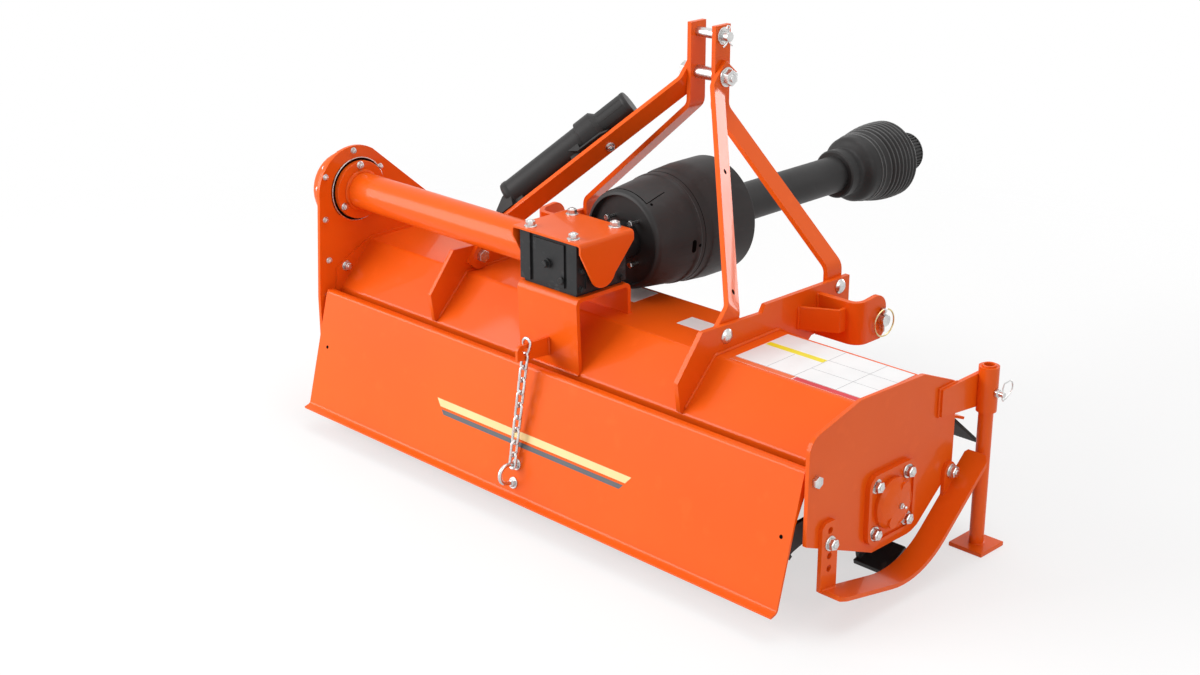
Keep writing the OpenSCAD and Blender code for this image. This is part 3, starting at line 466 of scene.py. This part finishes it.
def addDriveBolts():
    pile, gap = heap(), heap()
    for y, z in driveBolts["plate"]:
        addBolt(pile, at(driveBolts["plateX"], y, z), xAxis, driveBolts["plateBolt"])
    ty, tz = driveBolts["tube"]
    r = driveBolts["tubeRing"]
    for k in range(driveBolts["tubeCount"]):
        a = math.radians(driveBolts["tubeTurn"] - driveBolts["tubeStep"] * k)
        foot = at(driveBolts["tubeX"], ty + r * math.sin(a), tz + r * math.cos(a))
        addBolt(pile, foot, xAxis, driveBolts["tubeBolt"])
    for x, y in driveBolts["guard"]:
        addBolt(pile, at(x, y, driveBolts["guardZ"]), zAxis, driveBolts["guardBolt"])
    addBolt(pile, at(*driveBolts["deckEnd"]), xAxis, driveBolts["deckBolt"])
    centre = at(driveBolts["plateX"] + driveBolts["sealLift"], ty, tz)
    seal = driveBolts["seal"]
    addTube(pile, ringPath(centre, yAxis, zAxis, seal, 72), driveBolts["sealWire"], 8, True)
    makePiece("driveBolts", pile, "zincPlate", "frame")
    # dark ring on the plate: painted shade in the gap between the tube's flange and the plate's hole
    inner, low, high = driveBolts["gap"]
    disc = [(inner, low), (seal, low), (seal, high), (inner, high)]
    addLathe(gap, at(driveBolts["plateX"], ty, tz), xAxis, disc, 64)
    makePiece("tubeGapShade", gap, "paintedShadeAndJoints", "frame")


addDriveBolts()
print("drive bolts: made")

# bearing cap bolts and grease nipple, skid bolts on both sides
sideBolts = {"capX": 661, "capAt": (0, rotorZ), "capStep": 44, "nippleX": 681.5, "across": 18,
             "skid": [(-165, 150.5), (172, 170)], "skidX": 663,
             "nippleHex": [(5.5, 0), (5.5, 4)],
             "nipple": [(3.2, 4), (3.2, 7), (2.0, 8.4), (3.0, 10.4), (3.0, 12), (1.6, 13.4)]}


def addSideBolts():
    pile = heap()
    cy, cz = sideBolts["capAt"]
    step, across = sideBolts["capStep"], sideBolts["across"]
    for sy in (-1, 1):
        for sz in (-1, 1):
            addBolt(pile, at(sideBolts["capX"], cy + sy * step, cz + sz * step), xAxis, across)
    foot = at(sideBolts["nippleX"], cy, cz)
    addLathe(pile, foot, xAxis, sideBolts["nippleHex"], 6)
    addLathe(pile, foot, xAxis, sideBolts["nipple"], 16)
    for y, z in sideBolts["skid"]:
        addBolt(pile, at(sideBolts["skidX"], y, z), xAxis, across)
        addBolt(pile, at(mirrored(sideBolts["skidX"]), y, z), -xAxis, across)
    makePiece("sideBolts", pile, "zincPlate", "frame")


addSideBolts()
print("side bolts: made")

# lynch pins in the lower hitch pins, washer and split pin on the top one, bail of the stand's pin
lynch = {"place": (434.5, 265, 368), "shank": (-0.022, 0.014), "shankR": 3.4, "ring": 26, "wire": 1.5,
         "head": [(4.6, 0), (5.8, 2), (5.8, 7), (4.2, 9)], "lean": 0.07, "ringTop": 0.021, "ringOut": 0.002}
topPin = {"washerAt": (36, 260, 835), "washer": [(9.6, 0), (17, 0), (17, 2.4), (16.4, 3), (9.6, 3)],
          "splitAt": (48, 260, 835), "eye": 4, "eyeUp": 0.0165, "eyeTurn": (-60, 240), "wire": 1.5,
          "leg": [(0.0015, 0.0125), (0.0015, -0.010), (0.005, -0.014), (0.013, -0.019)]}
bail = {"place": (706, 250, 302.8), "wire": 1.3, "from": [(0, -0.010), (0, 0.012), (0.004, 0.020)],
        "bow": 14, "bowAt": (0.016, 0.008), "bowTurn": (20, 160), "to": [(0.010, -0.010), (0.002, -0.012)]}


def addLynch(pile, gold, side):
    x, y, z = lynch["place"]
    foot, out = at(side * x, y, z), xAxis * side
    low, high = (foot + zAxis * lift for lift in lynch["shank"])
    addTube(pile, [low, high], lynch["shankR"], 14)
    addLathe(pile, high, zAxis, lynch["head"], 18)
    across = (yAxis + out * lynch["lean"]).normalized()
    centre = foot + zAxis * (lynch["ringTop"] - lynch["ring"] / 1000) + out * lynch["ringOut"]
    addTube(gold, ringPath(centre, across, zAxis, lynch["ring"], 48), lynch["wire"], 8, True)


def addPins():
    pile, gold = heap(), heap()
    for side in (-1, 1):
        addLynch(pile, gold, side)
    addLathe(pile, at(*topPin["washerAt"]), xAxis, topPin["washer"], 32)
    foot = at(*topPin["splitAt"])
    eye = ringPath(foot + zAxis * topPin["eyeUp"], yAxis, zAxis, topPin["eye"], 14, *topPin["eyeTurn"])
    addTube(pile, eye, topPin["wire"], 8)
    for side in (-1, 1):
        leg = [foot + zAxis * z + yAxis * y * side for y, z in topPin["leg"]]
        addTube(pile, leg, topPin["wire"], 8)
    foot = at(*bail["place"])
    y, z = bail["bowAt"]
    bow = ringPath(foot + zAxis * z + yAxis * y, zAxis, yAxis, bail["bow"], 12, *bail["bowTurn"])
    first, last = ([foot + zAxis * z + yAxis * y for y, z in bail[key]] for key in ("from", "to"))
    addTube(pile, first + bow + last, bail["wire"], 8)
    makePiece("lynchPins", pile, "zincPlate", "frame")
    makePiece("lynchRings", gold, "goldZinc", "frame")


addPins()
print("pins: made")

# the tailboard's outer face: distance down from its upper fold, and across
board = {"lean": 14.6, "hinge": (-199, 270), "above": 14, "proud": 10, "height": 242, "thick": 4,
         "stapleShare": 0.765, "stapleGap": 36}
boardLean = math.radians(board["lean"])
boardDown = Vector((-math.sin(boardLean), -math.cos(boardLean)))
boardOut = Vector((-math.cos(boardLean), math.sin(boardLean)))
boardTop = Vector(board["hinge"]) - boardDown * board["above"] + boardOut * board["proud"]
boardFacing = Vector((0, boardOut.x, boardOut.y))


def onBoard(x, s, lift=0.0):
    p = boardTop + boardDown * s + boardOut * lift
    return at(x, p.x, p.y)


# chain from the tab to the tailboard's staple
chainRun = {"hook": (-225, 323), "hole": 7, "play": 0.8, "wire": 2.8, "half": 7.2, "gap": 0.5, "pitch": 24,
            "stand": 11, "leg": 4, "spare": 0.3,
            "bend": 0.5}  # a share of the run


def addChain():
    wire, half, gap = chainRun["wire"], chainRun["half"], chainRun["gap"]
    hold = boardTop + boardDown * board["height"] * board["stapleShare"] + boardOut * chainRun["stand"]
    first = Vector(chainRun["hook"]) + Vector((0, wire + chainRun["play"] - chainRun["hole"]))
    run = (hold - first).length + chainRun["leg"] + wire + chainRun["spare"]
    count = 2 * int(run / chainRun["pitch"] / 2) + 1
    pitch = (run - 2 * wire - gap) / count
    length = pitch + 2 * wire + gap
    reach = (length / 2 - half) / 1000
    along = (hold - first).normalized()
    u = Vector((0, along.x, along.y))
    pile = heap()
    for i in range(count):
        mid = first + along * (length / 2 + pitch * i)
        v = xAxis if i % 2 == 0 else u.cross(xAxis)
        centre = at(0, mid.x, mid.y)
        path = ringPath(centre + u * reach, v, u, half, 12, 0, 180)
        path += ringPath(centre - u * reach, v, u, half, 12, 180, 360)
        addTube(pile, path, wire, 12, True)
    piece = makePiece("tailChain", pile, "zincPlate", None)
    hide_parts("chain")
    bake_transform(piece)


addChain()
print("chain: made")

# open hook over the tab, nuts and washers of the staple, dark discs painted as the shade in the board's small
# holes
chainTrim = {"hookAt": (-221, 338), "hookR": 9.5, "hookWire": 2.7,
             "hookFrom": [(2.0, -3, -22), (7.0, -2, -13)], "hookTo": [(-9.0, 0, -5), (-7.0, 0, -9)],
             "washer": [(11, 0), (11, 1.6), (10.2, 2.1)], "nut": 13, "nutUp": 2.1, "nutHeight": 0.42,
             "holes": [(-591, 115), (617, 119)], "holeLift": 0.05,
             "hole": [(3.6, 0), (3.6, 0.12), (3.2, 0.16)]}


def addChainTrim():
    hook, nuts, dark = heap(), heap(), heap()
    y, z = chainTrim["hookAt"]
    first, last = ([at(dx, y + dy, z + dz) for dx, dy, dz in chainTrim[key]]
                   for key in ("hookFrom", "hookTo"))
    bow = ringPath(at(0, y, z), xAxis, zAxis, chainTrim["hookR"], 14, 0, 180)
    addTube(hook, first + bow + last, chainTrim["hookWire"], 12)
    makePiece("chainHook", hook, "zincPlate", "frame")
    upper = board["height"] * board["stapleShare"]
    for s in (upper, upper + board["stapleGap"]):
        for side, lift in ((boardFacing, 0), (-boardFacing, -board["thick"])):
            foot = onBoard(0, s, lift)
            addLathe(nuts, foot, side, chainTrim["washer"], 28)
            addNut(nuts, foot, side, chainTrim["nut"], chainTrim["nutUp"], chainTrim["nutHeight"])
    makePiece("stapleNuts", nuts, "zincPlate", "tail")
    # dark discs on the board face: painted shade inside its small holes
    for x, s in chainTrim["holes"]:
        addLathe(dark, onBoard(x, s, chainTrim["holeLift"]), boardFacing, chainTrim["hole"], 20)
    makePiece("boardHoleShade", dark, "paintedShadeAndJoints", "tail")


addChainTrim()
print("chain trim: made")

# two plain stripes on the tailboard
stripes = {"sand": [(-240, 124), (280, 124), (268, 138), (-228, 138)],
           "slate": [(-224, 143), (264, 143), (256, 152), (-216, 152)], "lift": 0.05, "thick": 0.00015}


def addStripes():
    for key, finish in (("sand", "sandStripe"), ("slate", "slateStripe")):
        band = heap()
        outline = [onBoard(x, s, stripes["lift"]) for x, s in stripes[key]]
        addSlab(band, outline, boardFacing * stripes["thick"])
        makePiece(key + "Stripe", band, finish, "tail")


addStripes()
print("stripes: plain")

# the deck's outer face from its rear fold to its front one
deckLine = [(-158, 288), (-82, 366), (88, 369), (166, 325)]

# blank signs on the deck: a white panel with plain colour bars, and two small plates
sign = {"panel": (360, -74, 638, 82), "small": [(176, -12, 253, 30), (-34, 14, 43, 80)],
        "red": (498, -74, 638, -61), "orange": (360, -74, 496, -61), "yellow": (362, 18, 490, 32),
        "across": [(-60, 360, 638), (32.5, 492, 638), (-14, 492, 638)],
        "along": [(491, -60, 82), (580, -60, 82), (430, -60, 16)], "lineWide": 0.8,
        "sheet": (0.1, 0.4), "bar": (0.5, 0.12), "line": (0.5, 0.1)}  # lift and thickness


def addPatch(pile, box, lift, thick):
    x0, y0, x1, y1 = box
    (rearY, rearZ), (frontY, frontZ) = deckLine[1:3]
    corners = [(x0, y0), (x1, y0), (x1, y1), (x0, y1)]
    outline = [at(x, y, rearZ + (y - rearY) / (frontY - rearY) * (frontZ - rearZ) + lift) for x, y in corners]
    addSlab(pile, outline, zAxis * thick / 1000)


def addSigns():
    white, lines = heap(), heap()
    for box in [sign["panel"]] + sign["small"]:
        addPatch(white, box, *sign["sheet"])
    makePiece("blankSigns", white, "blankSign", "frame")
    for key, finish in (("red", "signRed"), ("orange", "signOrange"), ("yellow", "signYellow")):
        bar = heap()
        addPatch(bar, sign[key], *sign["bar"])
        makePiece(key + "Bar", bar, finish, "frame")
    for y, x0, x1 in sign["across"]:
        addPatch(lines, (x0, y, x1, y + sign["lineWide"]), *sign["line"])
    for x, y0, y1 in sign["along"]:
        addPatch(lines, (x, y0, x + sign["lineWide"], y1), *sign["line"])
    makePiece("signLines", lines, "signLine", "frame")


addSigns()
print("signs: blank")

# welds along the seams: places across, points along, lift and size of the bead
welds = {
    "hitch": ((-333.2, -320.8, 333.2, 320.8), deckLine, 1.2, 3.2),
    "web": ((-333, 333), [(198, 331), (198, 412)], 0, 3.0),
    "gusset": ((-333.5, 333.5), [(143, 355), (143, 397)], 0, 2.6),
    "endPlate": ((646,), deckLine, 1, 2.6),
    "standBar": ((656.5,), [(183, 279), (131, 283), (131, 333), (183, 334)], 0, 2.8),
    "skidStrap": ((664, mirrored(664)), [(-184, 71), (-146, 63.5)], 0, 2.8),
    "chainTab": ((-4, 4), [(-169, 303), (-170.5, 335)], 0, 2.4),
}
saddleWelds = {"half": 78, "lines": [(-166.5, 281), (-29.5, 368)], "size": 3.0}
tubeWeld = {"r": 39, "count": 90, "proud": 2, "sizes": (3.7, 4.2)}


def addWelds():
    pile = heap()
    for places, line, lift, size in welds.values():
        for x in places:
            addBead(pile, [at(x, y, z + lift) for y, z in line], size)
    half = saddleWelds["half"]
    for y, z in saddleWelds["lines"]:
        addBead(pile, [at(-half, y, z), at(half, y, z)], saddleWelds["size"])
    centre = at(driveBolts["tubeX"] + tubeWeld["proud"], *driveBolts["tube"])
    ring = ringPath(centre, yAxis, zAxis, tubeWeld["r"], tubeWeld["count"])
    addTube(pile, ring, [tubeWeld["sizes"][k % 2] for k in range(tubeWeld["count"])], 8, True)
    makePiece("weldBeads", pile, "orangePaint", "frame")


addWelds()
print("welds: made")

# clutch shield: dark sheets painted as the shade in its slot and small holes, dark seam of its door and
# parting line, studs at its web
shield = {"y": 24, "rear": 96, "front": 115, "rim": 10, "full": 181,
          "holes": [(-5, 126, 3.2, 1.55), (53, 44, 2.8, 0.05)], "holeDepth": 0.5,
          "hole": [(0, 0), (0, 0.7), (-0.3, 0.8)],
          "seam": [(a, 35) for a in (122, 112, 102, 92, 82, 72, 64, 56)]
          + [(57, 46), (58.5, 58), (60, 72), (61.5, 88)], "seamLift": 0.1, "seamR": 0.9,
          "parting": 141, "partingR": 0.5}
shieldSlot = {"angle": -5, "y": 113, "half": 13, "wide": 5, "steps": 8, "bow": 105, "least": 0.3,
              "lift": 0.2, "sunk": -1}
shieldStud = {"place": (30.4, 40), "from": 36.2, "to": 20, "r": 3.2, "nut": 11, "nutHeight": 0.6}


def onShield(angle, y, lift=0.0):
    share = (y - shield["y"] - shield["rim"]) / (shield["full"] - shield["rim"])
    r = shield["rear"] + (shield["front"] - shield["rear"]) * share + lift
    a = math.radians(angle)
    return at(r * math.cos(a), y, driveZ + r * math.sin(a))


def slotRings():
    rings = []
    for k in range(2 * shieldSlot["steps"] + 1):
        run = shieldSlot["half"] * (k / shieldSlot["steps"] - 1)
        over = max(0, abs(run) - shieldSlot["half"] + shieldSlot["wide"])
        wide = max(shieldSlot["least"], math.sqrt(shieldSlot["wide"] ** 2 - over ** 2))
        angle = shieldSlot["angle"] + math.degrees(run / shieldSlot["bow"])
        lift, sunk = shieldSlot["lift"], shieldSlot["sunk"]
        corners = ((-wide, lift), (wide, lift), (wide, sunk), (-wide, sunk))
        rings.append([onShield(angle, shieldSlot["y"] + w, depth) for w, depth in corners])
    return rings


def addShieldTrim():
    dark, bolts = heap(), heap()
    # slot and holes: dark sheets painted as the shade inside them; door seam and parting line: dark joints
    addRings(dark, slotRings())
    for angle, y, r, lift in shield["holes"]:
        away = (onShield(angle, y, 1) - onShield(angle, y)).normalized()
        foot = onShield(angle, y, lift - shield["holeDepth"])
        addLathe(dark, foot, away, [(r + more, h) for more, h in shield["hole"]], 18)
    addTube(dark, [onShield(a, y, shield["seamLift"]) for a, y in shield["seam"]], shield["seamR"], 6)
    parting = [onShield(a, shield["parting"]) for a in range(0, 360, 4)]
    addTube(dark, parting, shield["partingR"], 6, True)
    makePiece("shieldShadeAndSeams", dark, "paintedShadeAndJoints", "frame")
    x, z = shieldStud["place"]
    long, r = shieldStud["from"] - shieldStud["to"], shieldStud["r"]
    for sx in (-1, 1):
        for sz in (-1, 1):
            foot = at(sx * x, shieldStud["from"], driveZ + sz * z)
            addLathe(bolts, foot, -yAxis, [(r, 0), (r, long)], 16)
            addNut(bolts, foot, -yAxis, shieldStud["nut"], long, shieldStud["nutHeight"])
    makePiece("shieldBolts", bolts, "zincPlate", "frame")


addShieldTrim()
print("shield trim: made")

# gearbox: cover bolts at its side, bolts round its front bearing, fill and level plugs at its rear
gearTrim = {"x": 74, "ys": (-154, -53), "zs": (442, 478, 514), "coverBolt": 10,
            "front": -27.5, "ring": 41, "ringCount": 6, "ringBolt": 8,
            "rear": -170.5, "fill": 12, "fillHeight": 0.5,
            "level": (34, 6, -26), "levelPlug": [(7, 0), (7, 3), (5, 4.4)]}


def addGearTrim():
    pile, black = heap(), heap()
    for y in gearTrim["ys"]:
        for z in gearTrim["zs"]:
            addBolt(black, at(gearTrim["x"], y, z), xAxis, gearTrim["coverBolt"])
    r, front, rear = gearTrim["ring"], gearTrim["front"], gearTrim["rear"]
    for k in range(gearTrim["ringCount"]):
        a = 2 * math.pi * k / gearTrim["ringCount"]
        foot = at(r * math.cos(a), front, driveZ + r * math.sin(a))
        addBolt(pile, foot, yAxis, gearTrim["ringBolt"], False)
    addNut(black, at(0, rear, driveZ), -yAxis, gearTrim["fill"], 0, gearTrim["fillHeight"])
    x, inward, down = gearTrim["level"]
    addLathe(black, at(x, rear + inward, driveZ + down), -yAxis, gearTrim["levelPlug"], 20)
    makePiece("gearBolts", pile, "zincPlate", "frame")
    makePiece("gearPlugs", black, "darkCasting", "frame")


addGearTrim()
print("gearbox trim: made")

# manual canister on the left rear brace: cap, collar, end, ribs and its three holders
canister = {"bolt": (260, 758), "foot": (-52, 394), "top": (41, 30), "low": 317, "short": 46, "share": 0.235,
            "gap": 17, "r": 32,
            "turned": [[(-9, -2.5), (-5, -2), (-3.4, 1), (-3.4, 6), (-4.2, 8)],
                       [(-4.2, 68), (5.6, 78), (5.6, 113), (4.8, 114), (-1, 114)],
                       [(-0.2, 290), (1.2, 294), (1.2, 301), (-3, 306.5), (-9, 308)]],
            "ribs": 12, "ribIn": 4.5, "ribRun": (10, 64), "ribR": 1.0,
            "holders": [[(56, -5.5), (75, -14), (126, -15), (126, -11), (77, -9.5), (62, -5)],
                        [(156, -34), (131, -44), (124, -30), (124, -11), (130, -11)],
                        [(290, -48), (312, -40), (334, -20), (337, -5), (298, -5)]], "plateHalf": 24}
braceBolts = {"along": (76, 336), "face": 5, "aside": 4, "across": 13,
              "holeFace": -4.9, "hole": [(5, 0), (5, 0.2), (4.6, 0.25)]}


# along the brace, away from its face and across it; side 1 is the right brace
def onBrace(u, v, w, side=-1):
    run = Vector(canister["bolt"]) - Vector(canister["foot"])
    tilt = -math.atan2(run.x, run.y)
    a = Vector(canister["top"])
    b = Vector((canister["low"], run.length - canister["short"]))
    turn = math.atan2(b.y - a.y, b.x - a.x)
    u = u + (b - a).length * canister["share"]
    lx = a.x + u * math.cos(turn) - v * math.sin(turn)
    ly = a.y + u * math.sin(turn) + v * math.cos(turn)
    y = w * math.cos(tilt) + ly * math.sin(tilt)
    z = w * math.sin(tilt) - ly * math.cos(tilt)
    return at(side * lx, canister["bolt"][0] + y, canister["bolt"][1] + z)


def addCanister():
    pile, zinc, holes = heap(), heap(), heap()
    r = canister["r"]
    mid = -canister["gap"] - r
    foot = onBrace(0, mid, 0)
    axis = (onBrace(1, mid, 0) - foot).normalized()
    for profile in canister["turned"]:
        addLathe(pile, foot, axis, [(r + more, h) for more, h in profile], 40)
    inner = r - canister["ribIn"]
    for k in range(canister["ribs"]):
        a = 2 * math.pi * k / canister["ribs"]
        v, w = mid + inner * math.cos(a), inner * math.sin(a)
        addTube(pile, [onBrace(u, v, w) for u in canister["ribRun"]], canister["ribR"], 6)
    half = canister["plateHalf"]
    for outline in canister["holders"]:
        depth = onBrace(0, 0, half) - onBrace(0, 0, -half)
        addSlab(pile, [onBrace(u, v, -half) for u, v in outline], depth)
    makePiece("canisterTrim", pile, "blackPlastic", "frame")
    inward = (onBrace(0, 1, 0) - onBrace(0, 0, 0)).normalized()
    outward = (onBrace(0, -1, 0, 1) - onBrace(0, 0, 0, 1)).normalized()
    for u in braceBolts["along"]:
        addBolt(zinc, onBrace(u, braceBolts["face"], braceBolts["aside"]), inward, braceBolts["across"])
        # dark discs on the right brace's outer face: painted shade inside its two holes
        addLathe(holes, onBrace(u, braceBolts["holeFace"], 0, 1), outward, braceBolts["hole"], 20)
    makePiece("canisterBolts", zinc, "zincPlate", "frame")
    makePiece("braceHoleShade", holes, "paintedShadeAndJoints", "frame")


addCanister()
print("canister: made")

# rotor: two bolts hold each tine to its flange
rotor = {"edge": 86, "left": -629, "pitch": 184, "flanges": 7, "tines": 4, "park": -6, "flange": 8, "tine": 8,
         "root": 46, "tip": 168, "sweep": 34, "ease": 0.9, "rings": (58, 74),
         "nut": 15, "headHeight": 0.45, "nutHeight": 0.5}


def addTineBolts():
    pile = heap()
    step = 360 / rotor["tines"]
    for i in range(rotor["flanges"]):
        x = rotor["left"] + rotor["edge"] + i * rotor["pitch"]
        for k in range(rotor["tines"]):
            s = 1 if k % 2 == 0 else -1
            headX, nutX = x + s * (rotor["flange"] / 2 + rotor["tine"]), x - s * rotor["flange"] / 2
            turn = math.radians(k * step + (i + 1) * step / 3 + rotor["park"])
            for r in rotor["rings"]:
                t = (r - rotor["root"]) / (rotor["tip"] - rotor["root"])
                a = math.radians(-90 + rotor["sweep"] * (1 - t) ** 2 * rotor["ease"]) + turn
                y, z = r * math.cos(a), rotorZ + r * math.sin(a)
                addNut(pile, at(headX, y, z), xAxis * s, rotor["nut"], 0, rotor["headHeight"])
                addNut(pile, at(nutX, y, z), xAxis * -s, rotor["nut"], 0, rotor["nutHeight"])
    makePiece("tineBolts", pile, "tinePaint", "rotor")


addTineBolts()
print("tine bolts: made")

# chain case: bolts round its top and down its sides, plugs, gasket line
case = {"top": (-113, 478), "low": (0, rotorZ), "x": -642, "across": 9,
        "topR": 83, "topCount": 7, "topFrom": 200, "topStep": 30,
        "shares": (0.22, 0.42, 0.62), "aside": 82, "narrower": 6,
        "face": -683, "plugs": [(-113, 478, 22), (-40, 250, 18), (6, 128, 18)],
        "plug": [(0.75, 0), (0.75, 2), (0.66, 3)], "plugHex": 0.8, "plugHeight": 0.35,
        "gasketX": -637, "gasketWire": 0.9,
        "gasketTop": (90.6, 22, -20, 200), "gasketLow": (84, 16, 200, 340)}  # radius, points and turn


def addCaseBolts():
    pile = heap()
    top, low = Vector(case["top"]), Vector(case["low"])
    r = case["topR"]
    for k in range(case["topCount"]):
        a = math.radians(case["topFrom"] - case["topStep"] * k)
        foot = at(case["x"], top.x + r * math.cos(a), top.y + r * math.sin(a))
        addBolt(pile, foot, -xAxis, case["across"])
    along = (top - low).normalized()
    across = Vector((along.y, -along.x))
    for share in case["shares"]:
        for s in (-1, 1):
            p = top.lerp(low, share) + across * s * (case["aside"] - case["narrower"] * share)
            addBolt(pile, at(case["x"], p.x, p.y), -xAxis, case["across"])
    makePiece("caseBolts", pile, "zincPlate", "frame")


def addCasePlugs():
    black, dark = heap(), heap()
    for y, z, size in case["plugs"]:
        foot = at(case["face"], y, z)
        addLathe(black, foot, -xAxis, [(size * share, h) for share, h in case["plug"]], 28)
        addNut(black, foot, -xAxis, size * case["plugHex"], case["plug"][-1][1], case["plugHeight"])
    makePiece("casePlugs", black, "darkCasting", "frame")
    path = ringPath(at(case["gasketX"], *case["top"]), yAxis, zAxis, *case["gasketTop"])
    path += ringPath(at(case["gasketX"], *case["low"]), yAxis, zAxis, *case["gasketLow"])
    addTube(dark, path, case["gasketWire"], 6, True)
    makePiece("caseGasket", dark, "paintedShadeAndJoints", "frame")


addCaseBolts()
addCasePlugs()
print("chain case trim: made")

# rubber flap: clamp bar and bolts along the apron's flange
flap = {"from": -600, "to": 618, "y": 205, "z": 260.0, "slope": (0.927, -0.375), "barHalf": 0.012,
        "barThick": 0.003, "bolts": 9, "across": 13}


def addFlapTrim():
    bar, pile = heap(), heap()
    y, z = flap["slope"]
    side, up = Vector((0, y, z)) * flap["barHalf"], Vector((0, -z, y))
    a, b = (at(flap[end], flap["y"], flap["z"]) for end in ("from", "to"))
    addSlab(bar, [a - side, b - side, b + side, a + side], up * flap["barThick"])
    makePiece("flapBar", bar, "orangePaint", "frame")
    for k in range(flap["bolts"]):
        p = a.lerp(b, (k + 0.5) / flap["bolts"]) + up * flap["barThick"]
        addBolt(pile, p, up, flap["across"])
    makePiece("flapBolts", pile, "zincPlate", "frame")


addFlapTrim()
print("flap trim: made")

# bell: thin ridges on its ribs and two rings behind them, in a lighter copy of the black plastic as a painted
# highlight
bell = {"y": 660, "r": 82, "from": 96, "long": 186, "ridges": 8, "widest": 5, "fall": 0.25, "rib": 1.5,
        "more": [(77, 71.5), (87, 72.5)]}


def addBellRibs():
    pile = heap()
    step = (bell["long"] - bell["from"]) / bell["ridges"]
    rings = list(bell["more"])
    for i in range(bell["ridges"]):
        rings.append((bell["from"] + (i + 0.5) * step, bell["r"] - bell["fall"] * (i - bell["widest"]) ** 2))
    for y, r in rings:
        ring = ringPath(at(0, bell["y"] + y, driveZ), xAxis, zAxis, r, 96)
        addTube(pile, ring, bell["rib"], 10, True)
    makePiece("bellRibHighlights", pile, "ribHighlightPlastic", "drive_front")


addBellRibs()
print("bell ribs: made")

# coupling: splines in the bore and two rings round the grip
coupling = {"end": 926, "bore": 17.5, "depth": 60, "short": 4, "splines": 6, "tooth": 2.6, "sunk": 0.4,
            "toothHalf": 0.0036, "rings": (7.5, 63), "ringR": 41, "ringWire": 1.6}


def addCoupling():
    pile = heap()
    foot = at(0, coupling["end"] - coupling["depth"], driveZ)
    inner, outer = (coupling["bore"] - coupling["tooth"]) / 1000, (coupling["bore"] + coupling["sunk"]) / 1000
    depth = yAxis * (coupling["depth"] - coupling["short"]) / 1000
    for k in range(coupling["splines"]):
        a = 2 * math.pi * k / coupling["splines"]
        u, v = Vector((math.cos(a), 0, math.sin(a))), Vector((-math.sin(a), 0, math.cos(a)))
        wide = v * coupling["toothHalf"]
        root, tip = foot + u * outer, foot + u * inner
        addSlab(pile, [tip - wide, root - wide, root + wide, tip + wide], depth)
    for back in coupling["rings"]:
        ring = ringPath(at(0, coupling["end"] - back, driveZ), xAxis, zAxis, coupling["ringR"], 64)
        addTube(pile, ring, coupling["ringWire"], 8, True)
    makePiece("couplingSplines", pile, "tinePaint", "coupling")


addCoupling()
print("coupling: made")
